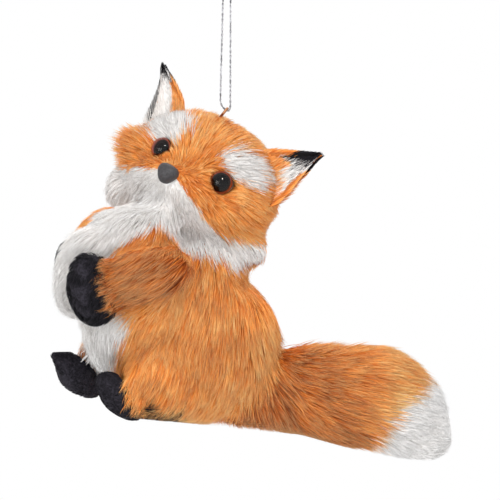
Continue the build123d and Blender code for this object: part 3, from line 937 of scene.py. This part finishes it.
def combOver(strands, normals, look, region):
    # Strands that would run into a paw or a foot climb over its outside.
    steps = strands.shape[1] - 1
    shares = np.arange(steps + 1) / steps
    for name, (skinName, further) in overSuedes.items():
        suede = skins[skinName]["tree"]
        mine = np.nonzero(region == list(hides).index(name))[0]
        meets = np.zeros(len(mine), bool)
        for k in range(1, steps + 1):
            meets |= inside(strands[mine, k], [skinName], 0.0005)
        for i in mine[meets]:
            root, length = strands[i, 0], look["length"][i]
            up = normals[i] if name == "chestHide" else unit(normals[i] + bodyLeft)
            way = unit(look["ways"][i] - up * (look["ways"][i] @ up))
            top = up * climb["above"] * mm
            if suede.ray_cast(Vector(root + top), Vector(-up), (climb["above"] - 0.5) * mm)[0] is not None:
                continue  # its root lies under the suede
            edge = suede.ray_cast(Vector(root + up * 0.0004), Vector(way), length)[3]
            if edge is not None:
                length = min(length, max(edge + look["over"][i] + further * mm, climb["least"] * length))
            spots = root + way * length * shares[:, None]
            high = np.zeros(steps + 1)
            for k in range(1, steps + 1):
                high[k] = high[k - 1] - climb["fall"] * mm
                for tree in (formTree, suede):
                    hit = tree.ray_cast(Vector(spots[k] + top), Vector(-up), climb["reach"] * mm)[0]
                    if hit is not None:
                        high[k] = max(high[k], (np.array(hit) - spots[k]) @ up)
            for k in range(steps - 1, 0, -1):
                high[k] = max(high[k], high[k + 1] - climb["rise"] * mm)  # starts ahead of the edge
            if high.max() <= climb["most"] * mm:
                high += (climb["clear"] + climb["tip"] * shares) * mm
                strands[i, 1:] = (spots + up * high[:, None])[1:]
    return strands


def nearestOf(spots, chosen):
    tree = kdtree.KDTree(len(chosen))
    for i, g in enumerate(chosen):
        tree.insert(Vector(spots[g]), i)
    tree.balance()
    return np.array([chosen[tree.find(Vector(s))[1]] for s in spots])


def gather(spots, rng, every, pull):
    # Strands lean together towards the tip of a guide near their root, in locks.
    count, steps = len(spots), spots.shape[1] - 1
    own = nearestOf(spots[:, 0], rng.choice(count, max(2, count // every), replace=False))
    strength = pull * rng.uniform(0.45, 1.0, count)
    guide = spots[own].copy()
    for k in range(1, steps + 1):
        share = (k / steps) ** 1.3
        toGuide = guide[:, k] + (spots[:, 0] - guide[:, 0]) * (1 - share)
        spots[:, k] += (toGuide - spots[:, k]) * (strength * share)[:, None]
    return spots, own


def cutBelow(strands, floor, least=0.25):
    # Cuts each strand where it comes below the floor, which is a height for each x.
    count, steps = len(strands), strands.shape[1] - 1
    high = strands[:, :, 2] - floor(strands[:, :, 0])
    cut = np.ones(count)
    for k in range(steps, 0, -1):
        crosses = (high[:, k - 1] >= 0) & (high[:, k] < 0)
        part = high[:, k - 1] / np.maximum(high[:, k - 1] - high[:, k], 1e-9)
        cut = np.where(crosses, (k - 1 + part) / steps, cut)
    cut = np.where(high[:, 0] < 0, 0, cut)
    kept = np.empty_like(strands)
    rows = np.arange(count)
    for k in range(steps + 1):
        low = np.minimum((cut * k).astype(int), steps - 1)
        part = (cut * k - low)[:, None]
        kept[:, k] = strands[rows, low] * (1 - part) + strands[rows, low + 1] * part
    return kept, cut > least


strandLook = {"sides": 3, "taper": 0.72, "cell": 0.0025}


def strandMesh(name, spots, widths, tones, paints):
    # Tapered strands. Their map holds each strand's tone across and its length upwards.
    count, steps = len(spots), spots.shape[1] - 1
    sides, cell = strandLook["sides"], strandLook["cell"]
    ways = unit(np.gradient(spots, axis=1))
    rng = np.random.default_rng(len(name) + count)
    spin = rng.uniform(0, 2 * math.pi, count)
    a = unit(np.cross(ways, unit(rng.normal(size=(count, 3)))[:, None]))
    b = np.cross(ways, a)
    rings = np.empty((count, steps, sides, 3))
    for k in range(steps):
        radius = (widths * 0.5 * (1 - strandLook["taper"] * (k / steps) ** 1.3))[:, None]
        for j in range(sides):
            angle = (spin + j * 2 * math.pi / sides)[:, None]
            rings[:, k, j] = spots[:, k] + radius * (np.cos(angle) * a[:, k] + np.sin(angle) * b[:, k])
    verts = np.concatenate([rings.reshape(count, steps * sides, 3), spots[:, -1:]], 1).reshape(-1, 3)
    first = np.arange(count) * (steps * sides + 1)
    quads, tips, quadMaps, tipMaps = [], [], [], []
    for j in range(sides):
        n = (j + 1) % sides
        u = tones + j * cell
        for k in range(steps):
            v, w = np.full(count, k / steps), np.full(count, (k + 1) / steps)
            low, high = first + k * sides, first + (k + 1) * sides
            if k < steps - 1:
                quads.append(np.stack([low + j, low + n, high + n, high + j], 1))
                quadMaps.append(np.stack([u, v, u + cell, v, u + cell, w, u, w], 1))
            else:
                tips.append(np.stack([low + j, low + n, high], 1))
                tipMaps.append(np.stack([u, v, u + cell, v, u + cell / 2, w], 1))
    quads, tips = np.concatenate(quads), np.concatenate(tips)
    corners = np.concatenate([quads.ravel(), tips.ravel()]).astype(np.int32)
    starts = np.concatenate([np.arange(len(quads)) * 4, len(quads) * 4 + np.arange(len(tips)) * 3])
    mesh = bpy.data.meshes.new(name)
    mesh.vertices.add(len(verts))
    mesh.vertices.foreach_set("co", verts.ravel())
    mesh.loops.add(len(corners))
    mesh.loops.foreach_set("vertex_index", corners)
    mesh.polygons.add(len(starts))
    mesh.polygons.foreach_set("loop_start", starts.astype(np.int32))
    used = sorted(set(paints.tolist()))
    for paint in used:
        mesh.materials.append(coatMaterials[paint])
    index = np.tile(np.searchsorted(used, paints), sides * steps)
    mesh.polygons.foreach_set("material_index", index.astype(np.int32))
    mesh.update(calc_edges=True)
    uv = mesh.uv_layers.new(name="OFBake")
    uv.data.foreach_set("uv", np.concatenate([np.concatenate(m).ravel() for m in (quadMaps, tipMaps)]))
    addPiece(name, mesh)


# keeps each piece light enough to export whole
mostStrands = 9400  # the most strands in one piece; more are split over several pieces


def writeStrands(name, strands, widths, tones, paints):
    batches = max(1, math.ceil(len(strands) / mostStrands))
    tones = np.clip(tones, 0.004, 0.985)
    order = np.argsort(strands[:, 0] @ np.array((0.35, 0.1, -1.0)))
    for b, chosen in enumerate(np.array_split(order, batches)):
        label = name + (chr(65 + b) if batches > 1 else "")
        strandMesh(label, strands[chosen], widths[chosen], tones[chosen], paints[chosen])


# How the coat lies

neckTop = point(0.75, 0, -68)
throat = point(-15, -8, -63)
noseBridge = headAt + headUp * (-2.0 * mm) + headFront * (19.0 * mm)


def awayFrom(place, weight):
    return lambda spots: unit(spots - place) + np.array(weight)


def faceLie(spots):
    # The coat parts at the bridge of the nose and runs back from it on all sides.
    up, front = inHead(spots)[1:]
    low = easeIn(faceLine(spots) - up, -1, 7)
    down = (low * 0.45 + easeIn(-front, 2, 12) * 0.5)[:, None]
    return unit(spots - noseBridge) + np.array((0, 0, -1)) * down


def ruffLie(spots):
    return unit(faceLie(spots)) + np.array((0, 0, -0.3))


# From the neck down over the back and the legs, and from the throat over the chest
flankLie = awayFrom(neckTop, (-0.08, 0, -0.3))
armLie = awayFrom(neckTop, (-0.35, 0, 0.05))
legLie = awayFrom(neckTop, (-0.25, 0, -0.25))
chestLie = awayFrom(throat, (0, 0, -0.2))


def tailLie(spots):
    x, y, z = spots.T / mm
    along = easeIn(x + (z + 125) * 0.35, 2, 27)[:, None]
    flare = np.stack([np.zeros(len(x)), (y - 10) * 0.012, (z + 126 + x * 0.12) * 0.010], 1)
    return unit(flankLie(spots)) * (1 - along) + (np.array((1.0, 0, -0.12)) + flare) * along


def tipLie(spots):
    return unit(spots - point(30, 10, -128)) * np.array((1, 0.4, 0.6)) + np.array((0.3, 0, -0.2))


# Each part's lie, shortest and longest strand, height of its tips, width of its strands, all in millimetres,
# and how closely they stand
coatLooks = {
    "headHide": (faceLie, 5.0, 8.5, 2.4, 0.2, 1.0),
    "muzzleHide": (faceLie, 4.5, 7.5, 1.7, 0.17, 1.0),
    "ruffHideLeft": (ruffLie, 5.0, 8.0, 2.8, 0.18, 1.1),
    "ruffHideRight": (ruffLie, 7.0, 11.0, 3.8, 0.18, 1.2),
    "browHideLeft": (faceLie, 5.0, 7.5, 2.2, 0.17, 1.0),
    "browHideRight": (faceLie, 5.0, 7.5, 2.2, 0.17, 1.0),
    "bodyHide": (flankLie, 8.5, 13.5, 2.8, 0.22, 0.85),
    "chestHide": (chestLie, 8.0, 12.0, 2.4, 0.18, 1.0),
    "armHideLeft": (armLie, 9.0, 14.0, 3.0, 0.23, 1.0),
    "armHideRight": (armLie, 7.0, 10.0, 1.9, 0.22, 0.9),
    "legHideLeft": (legLie, 8.5, 13.0, 2.8, 0.22, 0.9),
    "legHideRight": (legLie, 7.0, 10.0, 1.4, 0.22, 0.9),
    "tailHide": (tailLie, 9.0, 14.5, 3.4, 0.22, 0.85),
    "tailTipHide": (tipLie, 5.0, 9.0, 1.2, 0.16, 1.1),
}
eyeRims = {"Left": 3.3, "Right": 3.2}


def clearOfEyes(roots, look):
    # Strands that would lie over an eye stop at its rim.
    keep = np.ones(len(roots), bool)
    for side, (centre, axis) in eyePlaces.items():
        high = (roots - centre) @ axis
        flat = roots - centre - high[:, None] * axis
        away, rim = np.linalg.norm(flat, axis=1), eyeRims[side] * mm
        near = (away < 0.014) & (high > -0.007)
        keep &= ~((away < rim * 0.98) & near)
        along = (flat * level(look["ways"], axis)).sum(1)
        reach = along**2 - (away**2 - rim**2)
        toRim = -along - np.sqrt(np.maximum(reach, 0))
        hits = near & (along < 0) & (reach > 0) & (toRim < look["length"])
        look["length"] = np.where(hits, np.maximum(toRim, 0.0012), look["length"])
        look["rise"] = np.where(hits, np.clip(look["length"] * 0.8, 0.0012, 0.0026), look["rise"])
    return keep


# The middle and the spread of each colour's tone, and how it changes from place to place
toneLook = {
    "ginger": (0.55, 0.13), "white": (0.58, 0.26), "black": (0.4, 0.15), "face": 0.04, "brow": 0.07,
    "cheeks": 0.12, "nearArm": 0.3, "tail": 0.32, "tailEnd": 0.4, "tailTop": 0.08, "tailUnder": 0.1,
}


def coatTones(spots, region, paint, rng):
    # Darker on the cheeks, the near arm and the root of the tail, paler on the brow and the end of the tail
    count = len(spots)
    x, z = spots[:, 0] / mm, spots[:, 2] / mm
    across, up = inHead(spots)[:2]
    onTail = np.isin(region, named("tail"))
    onFace = np.isin(region, named("head", "muzz", "ruff", "brow"))
    look = toneLook
    middle, uneven = look["ginger"]
    tone = middle + drift(spots, 0.02, 41) * 0.07 + drift(spots, 0.006, 42) * 0.06
    cheeks = np.exp(-(((np.abs(across) - 12) / 8) ** 2 + ((up + 3.5) / 3) ** 2))
    faceTone = tone + look["face"] + look["brow"] * easeIn(up, 4, 16) - look["cheeks"] * cheeks
    tone = np.where(onFace, faceTone, tone)
    tone = np.where(np.isin(region, named("armHideLeft")), tone - look["nearArm"], tone)
    tailTone = tone - look["tail"] + look["tailEnd"] * easeIn(x, 26, 50)
    tailTone += look["tailTop"] * easeIn(z, -126, -112)
    tailTone -= look["tailUnder"] * np.exp(-(((x - 40) / 9) ** 2 + ((z + 136) / 5) ** 2))
    tone = np.where(onTail, tailTone, tone) + rng.normal(size=count) * uneven
    middle, uneven = look["white"]
    whites = middle + rng.normal(size=count) * uneven + drift(spots, 0.012, 8) * 0.12
    whites = np.where(onTail, whites * 0.35 + 0.65, whites)  # the tail's tip is white throughout
    middle, uneven = look["black"]
    blacks = middle + rng.normal(size=count) * uneven
    return np.select([paint == white, paint == black], [whites, blacks], tone)


def bottomLine(x):
    # The coat is cut off nearly straight along the bottom.
    places = [-45, -28, 5, 22, 37, 44, 60]
    return np.interp(x / mm, places, [-131.5, -132.6, -136.6, -138.2, -142.4, -143.8, -147]) * mm


def coatPaint(middles, region, rng):
    # The colour of a strand is that of the coat where its middle lies.
    count = len(middles)
    x, z = middles[:, 0] / mm, middles[:, 2] / mm
    wander = drift(middles, 0.006, 3) * 0.6 + rng.normal(size=count) * 0.55
    paint = np.full(count, ginger)
    for number, hide in enumerate(hides.values()):
        mine = region == number
        paint[mine] = hide[2](middles[mine], wander[mine])
    low = easeIn(-z, 128.0, 131.5) * (x < -12) * np.isin(region, named("legHide", "bodyHide"))
    paint = np.where(rng.random(count) < low * 0.8, black, paint)
    lobe = easeIn(-x, 47, 51) * easeIn(-z, 87, 90) * np.isin(region, named("chestHide"))
    return np.where((rng.random(count) < lobe * 0.02) & (paint == white), black, paint)


coatCount = {"quick": 80000, "full": 138000}
strandShape = {"follow": 0.78, "lift": 0.2, "least": -1.5, "over": 6.0, "strays": 0.035, "loose": 0.03}
# What changes on the cheeks, under the chin and over the rump
tufts = {
    "cheek": {"follow": -0.62, "lift": 0.12},
    "chin": {"length": 3.0 * mm, "rise": 0.8 * mm},
    "rump": {"rise": 4.2 * mm, "follow": -0.35, "lift": 0.15},
}


def growCoat():
    rng = np.random.default_rng(7)
    count = coatCount["full"]
    roots, normals = scatter(formVerts, formTris, formNormals, count, rng)
    shares = hideShares(roots + normals * 0.0022)
    region = shares.argmax(0)
    lies, shortest, longest, rise, width, density = zip(*coatLooks.values())
    kept = (rng.random(count) < np.array(density)[region]) & ~inside(roots, suedes, 0.0004)
    roots, normals, shares, region = roots[kept], normals[kept], shares[:, kept], region[kept]
    count = len(roots)
    ways = sum(unit(lie(roots)) * share[:, None] for lie, share in zip(lies, shares))
    ways = unit(ways) + rng.normal(size=(count, 3)) * 0.05
    shortest, longest, rise, width = (shares.T @ np.array(s) for s in (shortest, longest, rise, width))
    toNose = np.linalg.norm(roots - noseAt, axis=1) / mm
    nearNose = np.interp(toNose, [2.5, 6, 12, 20, 28], [0.2, 0.42, 0.7, 0.9, 1.0])
    look = {
        "ways": ways, "length": rng.uniform(shortest, longest) * nearNose * mm,
        "rise": rise * rng.uniform(0.75, 1.1, count) * nearNose**0.7 * mm,
        "follow": np.full(count, strandShape["follow"]), "lift": np.full(count, strandShape["lift"]),
        "over": (strandShape["least"] + strandShape["over"] * rng.random(count) ** 3) * mm,
    }
    across, up = inHead(roots)[:2]
    x, z = roots[:, 0] / mm, roots[:, 2] / mm
    onHead = np.isin(region, named("headHide", "muzzleHide"))
    cheekTuft = onHead * easeIn(-across, 14, 21) * easeIn(-np.abs(up + 3.5), -9, -3)
    chin = onHead * easeIn(faceLine(roots) - up, 1, 8)
    rump = (~onHead) * easeIn(x, 0, 9) * (1 - easeIn(x, 20, 26)) * easeIn(-np.abs(z + 106), -13, -6)
    tailTop = easeIn(x, 40, 56) * easeIn(z, -140, -128)
    look["length"] = look["length"] * (1 + 0.7 * cheekTuft)
    parts = {"cheek": cheekTuft, "chin": chin, "rump": rump}
    for part, changes in tufts.items():
        for key, change in changes.items():
            look[key] = look[key] + change * parts[part]
    look["rise"] = look["rise"] * (1 - 0.5 * tailTop)
    keep = clearOfEyes(roots, look) & (toNose > 3.1)
    strays = rng.random(count) < strandShape["strays"]
    look["rise"] = np.where(strays, look["rise"] * 1.5, look["rise"])
    look["follow"] = np.where(strays, 0.6, look["follow"])
    look = {k: v[keep] for k, v in look.items()}
    roots, normals, region, width = roots[keep], normals[keep], region[keep], width[keep]
    count = len(roots)

    middles = roots + level(look["ways"], normals) * (look["length"] * 0.5)[:, None] + normals * 0.001
    paint = coatPaint(middles, region, rng)
    tones = coatTones(middles, region, paint, rng)
    strands = combOver(layStrands(roots, normals, look, 4, formTree), normals, look, region)
    for every, pull, spread in ((10, 0.62, 0.07), (75, 0.3, 0.05)):
        strands, lock = gather(strands, rng, every, pull)
        tones += (rng.normal(size=count) * spread)[lock]
    loose = rng.normal(size=(count, 1, 3)) * (look["length"] * strandShape["loose"])[:, None, None]
    strands[:, 1:] += loose * (np.arange(1, 5) / 4)[None, :, None]
    strands, whole = cutBelow(strands, bottomLine)
    strands[:, 0] -= normals * 0.0003
    widths = width * mm * rng.uniform(0.75, 1.25, count)
    for number, (name, hide) in enumerate(hides.items()):
        mine = (region == number) & whole
        label = name.replace("Hide", "Fur")
        writeStrands(label, strands[mine], widths[mine], tones[mine], paint[mine])
        print(label, int(mine.sum()), "strands")
    return int(whole.sum())


print("coat grown,", growCoat(), "strands")

# How many strands of nap, their longest, their rise, their way and their width, in millimetres
napLooks = {
    "paw": {
        "count": 7500, "longest": 3.2, "rise": 1.4, "way": (-0.35, 0.0, -0.9), "width": 0.18, "seed": 81,
    },
    "foot": {
        "count": 4200, "longest": 1.1, "rise": 0.25, "way": (-0.7, -0.3, 0.35), "width": 0.15, "seed": 83,
    },
}


def growNap(part, side, nap, seed):
    rng = np.random.default_rng(seed)
    skin = skins[part + "Suede" + side]
    roots, normals = scatter(skin["verts"], skin["tris"], skin["normals"], nap["count"], rng)
    formSpots, formUps = nearestOn(formTree, roots)
    shown = ((roots - formSpots) * formUps).sum(1) > 0.0011
    roots, normals = roots[shown], normals[shown]
    count = len(roots)
    look = {
        "ways": np.array(nap["way"]) + rng.normal(size=(count, 3)) * 0.12,
        "length": rng.uniform(0.55, 1.0, count) * nap["longest"] * mm,
        "rise": np.full(count, nap["rise"]) * mm, "follow": np.full(count, 0.8), "lift": np.full(count, 0.35),
    }
    strands, lock = gather(layStrands(roots, normals, look, 3, skin["tree"]), rng, 8, 0.4)
    tones = 0.5 + rng.normal(size=count) * 0.2 + (rng.normal(size=count) * 0.1)[lock]
    strands[:, 0] -= normals * 0.0002
    widths = nap["width"] * mm * rng.uniform(0.75, 1.25, count)
    writeStrands(part + "Nap" + side, strands, widths, tones, np.full(count, black))


for n, side in enumerate(("Left", "Right")):
    for part, nap in napLooks.items():
        growNap(part, side, nap, nap["seed"] + n)
print("nap grown on paws and feet")

# Ear fur: how many strands, the face they stand on, their height, the shortest and longest of them, and how
# far across they reach
earFur = (
    (3000, 1, 0.9, (4.5, 6.5), 0.93),
    (2400, -1, 1.0, (4.0, 6.0), 0.97),
    (1500, 1, 0.4, (3.5, 5.0), 1.1),
)


def earPaint(side, face, along, across, rng):
    # Pale inside with a ginger base, ginger outside, and black at the tip
    if face < 0:
        wander = rng.normal(size=len(along)) * 0.05
        return np.where(along + wander > (0.6 if side == "Left" else 0.66), black, ginger)
    wander = rng.normal(size=len(along)) * 0.07
    paint = np.full(len(along), white)
    if side == "Left":
        paint[(across < -0.15 + wander) & (along < 0.36) | (along + wander < 0.13)] = ginger
        paint[along + wander > 0.55 - 0.25 * np.minimum(-across, 0.5)] = black
        paint[(across < -0.8 + wander) & (along < 0.62)] = ginger
        paint[(rng.random(len(along)) < 0.25) & (along > 0.3) & (paint == white)] = black
        paint[(across > 0.74 + wander) & (along < 0.62)] = ginger
    else:
        paint[(across < -0.2 + wander) & (along < 0.7)] = ginger
        paint[along + wander > 0.72] = black
        edge = (across > 0.95 + wander * 0.3) & (along > 0.1)
        paint[edge & (rng.random(len(along)) < 0.3 + along)] = black
    return paint


def growEar(side, seed):
    rng = np.random.default_rng(seed)
    way, outward = earPlaces[side][1:]
    sets = []
    for full, face, tall, long, reach in earFur:
        count = int(full * (1.0))
        along = rng.uniform(0.0, 0.92, count)
        across = rng.uniform(-1, 1, count) * reach
        if reach > 1:
            across = np.sign(across) * rng.uniform(0.93, 1.0, count)
        roots = earSpot(side, along, across, face * (0.72 if face > 0 else 0.5))
        outer = np.sign(across) * np.abs(across) ** 2
        ways = unit(way + outward * (outer * (0.12 - 0.45 * along))[:, None])
        length = (rng.uniform(*long, count) * (1 - 0.62 * along) * mm)[:, None]
        spots = np.empty((count, 5, 3))
        for k in range(5):
            s = k / 4
            spots[:, k] = roots + ways * length * s + headFront * face * (tall * mm * s * (1 - 0.35 * s))
        paint = earPaint(side, face, along, across, rng)
        sets.append((spots, paint, np.where(paint == ginger, 0.5, 0.3) + rng.normal(size=count) * 0.2))
    spots, paint, tones = (np.concatenate(parts) for parts in zip(*sets))
    spots = gather(spots, rng, 9, 0.5)[0]
    widths = 0.2 * mm * rng.uniform(0.75, 1.25, len(spots))
    writeStrands("earFur" + side, spots, widths, tones, paint)


growEar("Left", 101)
growEar("Right", 102)
print("fur grown on the ears")

# Eyes and nose

eyeLook = {
    "radius": 3.5, "bulge": 2.7, "iris": 3.47, "pupil": {"Left": 1.7, "Right": 1.4},
    "shift": {"Left": 0.1, "Right": 1.0}, "spokes": 48,
}
irisTones = [
    (0.0, (6, 3, 3)), (0.42, (30, 12, 8)), (0.6, (196, 112, 84)), (0.85, (206, 120, 90)),
    (1.0, (96, 46, 32)),
]


def eyeMaterials():
    dome, tree, shade = newMaterial("clearBrownDome")
    feed(tree, shade, {
        "Base Color": (0.62, 0.3, 0.2, 1), "Roughness": 0.02, "IOR": 1.34, "Transmission Weight": 1.0,
    })
    iris, tree, shade = newMaterial("brownIris")
    place, split = ownMap(tree)
    stretch = addNode(tree, "VectorMath", {0: place, 1: (0.06, 1, 0)}, operation="MULTIPLY")
    rays = addNode(tree, "TexNoise", {"Scale": 40, "Detail": 3, "Vector": stretch.outputs[0]})
    mixed = addNode(tree, "Mix", data_type="RGBA", blend_type="MULTIPLY")
    feed(tree, mixed, {
        "Factor": 0.5, "A": rampColour(tree, irisTones, split["X"]), "B": rays.outputs["Color"],
    })
    feed(tree, shade, {
        "Base Color": mixed.outputs["Result"], "Roughness": 0.6, "Specular IOR Level": 0.05,
    })
    return dome, iris


def ringAbout(place, axis, radius, height, spokes):
    # Points of a ring about an axis, as many as there are spokes, given in turns
    side = unit(np.cross(axis, (0.3, 0.2, 0.9)))
    other = np.cross(axis, side)
    angles = (spokes * 2 * math.pi)[:, None]
    return place + (side * np.cos(angles) + other * np.sin(angles)) * radius * mm + axis * height * mm


def spunForm(profile, place, axis, count):
    # A profile of radius and height turned round an axis
    spokes = np.arange(count) / count
    rings = [ringAbout(place, axis, radius, height, spokes) for radius, height in profile]
    return np.concatenate(rings), capped(len(profile), count)


def makeEye(side, domeMaterial, irisMaterial):
    place, axis = eyePlaces[side]
    radius, bulge, count = eyeLook["radius"], eyeLook["bulge"], eyeLook["spokes"]
    ball = (radius**2 + bulge**2) / (2 * bulge)
    profile = [(radius * 0.97, -0.25), (radius, -0.12)]
    for t in np.linspace(math.asin(radius / ball), 0.02, 16):
        profile.append((ball * math.sin(t), ball * math.cos(t) - ball + bulge))
    shape = spunForm(profile, place, axis, count)
    meshPiece("eyeDome" + side, shape, [domeMaterial], "eye_" + side.lower())
    shift = level(headRight, axis) * eyeLook["shift"][side] * mm
    wide = eyeLook["pupil"][side]
    disc = [(wide, -0.6), (wide, 0.05), (wide * 0.94, 0.1), (0.3, 0.12)]
    shape = spunForm(disc, place + shift, axis, count)
    meshPiece("pupilDisc" + side, shape, [grained["blackGloss"]], "eye_pupil_" + side.lower())
    shares, spokes = np.arange(6) / 5, np.arange(count + 1) / count
    rings = [
        ringAbout(place + shift * (1 - share), axis, radius, 0.03, spokes)
        for share, radius in zip(shares, np.linspace(wide - 0.05, eyeLook["iris"], 6))
    ]
    shape = np.concatenate(rings), band(6, count + 1, closed=False)
    iris = meshPiece("irisRing" + side, shape, [irisMaterial])
    uv = iris.data.uv_layers.new(name="OFBake")
    for corner, loopCorner in zip(uv.data, iris.data.loops):
        ring, spoke = divmod(loopCorner.vertex_index, count + 1)
        corner.uv = (shares[ring], spokes[spoke])


eyeColours = eyeMaterials()
for side in eyePlaces:
    makeEye(side, *eyeColours)

# Sizes in millimetres; the rim turns back from its edge where the last fifth of the rings begins.
noseLook = {"size": 3.25, "corner": 0.09, "depth": 3.6, "base": -1.4, "rings": 18, "spokes": 54, "turn": 0.8}


def noseSpot(share, a):
    edge = noseLook["size"] * (1 + noseLook["corner"] * math.cos(3 * (a + math.pi / 2)))
    turn = noseLook["turn"]
    if share < turn:
        r = edge * (share / turn) ** 0.75
        high = noseLook["depth"] * max(0.0, 1 - (r / edge) ** 2.6) ** (1 / 2.6)
    else:
        r = edge * (1 - 0.25 * (share - turn) / 0.2)
        high = noseLook["base"] * (share - turn) / 0.2
    x, y = r * math.cos(a), r * math.sin(a) * 0.94
    for nostril in (-1.45, 1.45):
        high -= 0.3 * math.exp(-(((x - nostril) / 0.5) ** 2 + ((y + 0.7) / 0.38) ** 2))
    high -= 0.5 * math.exp(-((x / 0.22) ** 2 + ((y + 2.1) / 0.8) ** 2))
    return noseAt + (headRight * x + headUp * y + headFront * high) * mm


def makeNose():
    # A soft triangle, point down, with two shallow nostrils and a notch between them
    rings, spokes = noseLook["rings"], noseLook["spokes"]
    verts = [noseAt + headFront * noseLook["depth"] * mm]
    for i in range(1, rings + 1):
        verts += [noseSpot(i / rings, 2 * math.pi * j / spokes) for j in range(spokes)]
    faces = [(a, d, c, b) for a, b, c, d in band(rings, spokes, 1)]
    faces += [(0, 1 + j, 1 + (j + 1) % spokes) for j in range(spokes)]
    faces.append(tuple(1 + (rings - 1) * spokes + j for j in range(spokes))[::-1])
    meshPiece("noseButton", (verts, faces), [grained["nosePlastic"]], "nose")


makeNose()
print("eyes and nose made")

low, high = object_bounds()
sizes = [[round((b - a) / mm, 1) for a, b in zip(*box)] for box in ((low, high), (cadLow, cadHigh))]
print("box", sizes[0], "of", sizes[1])
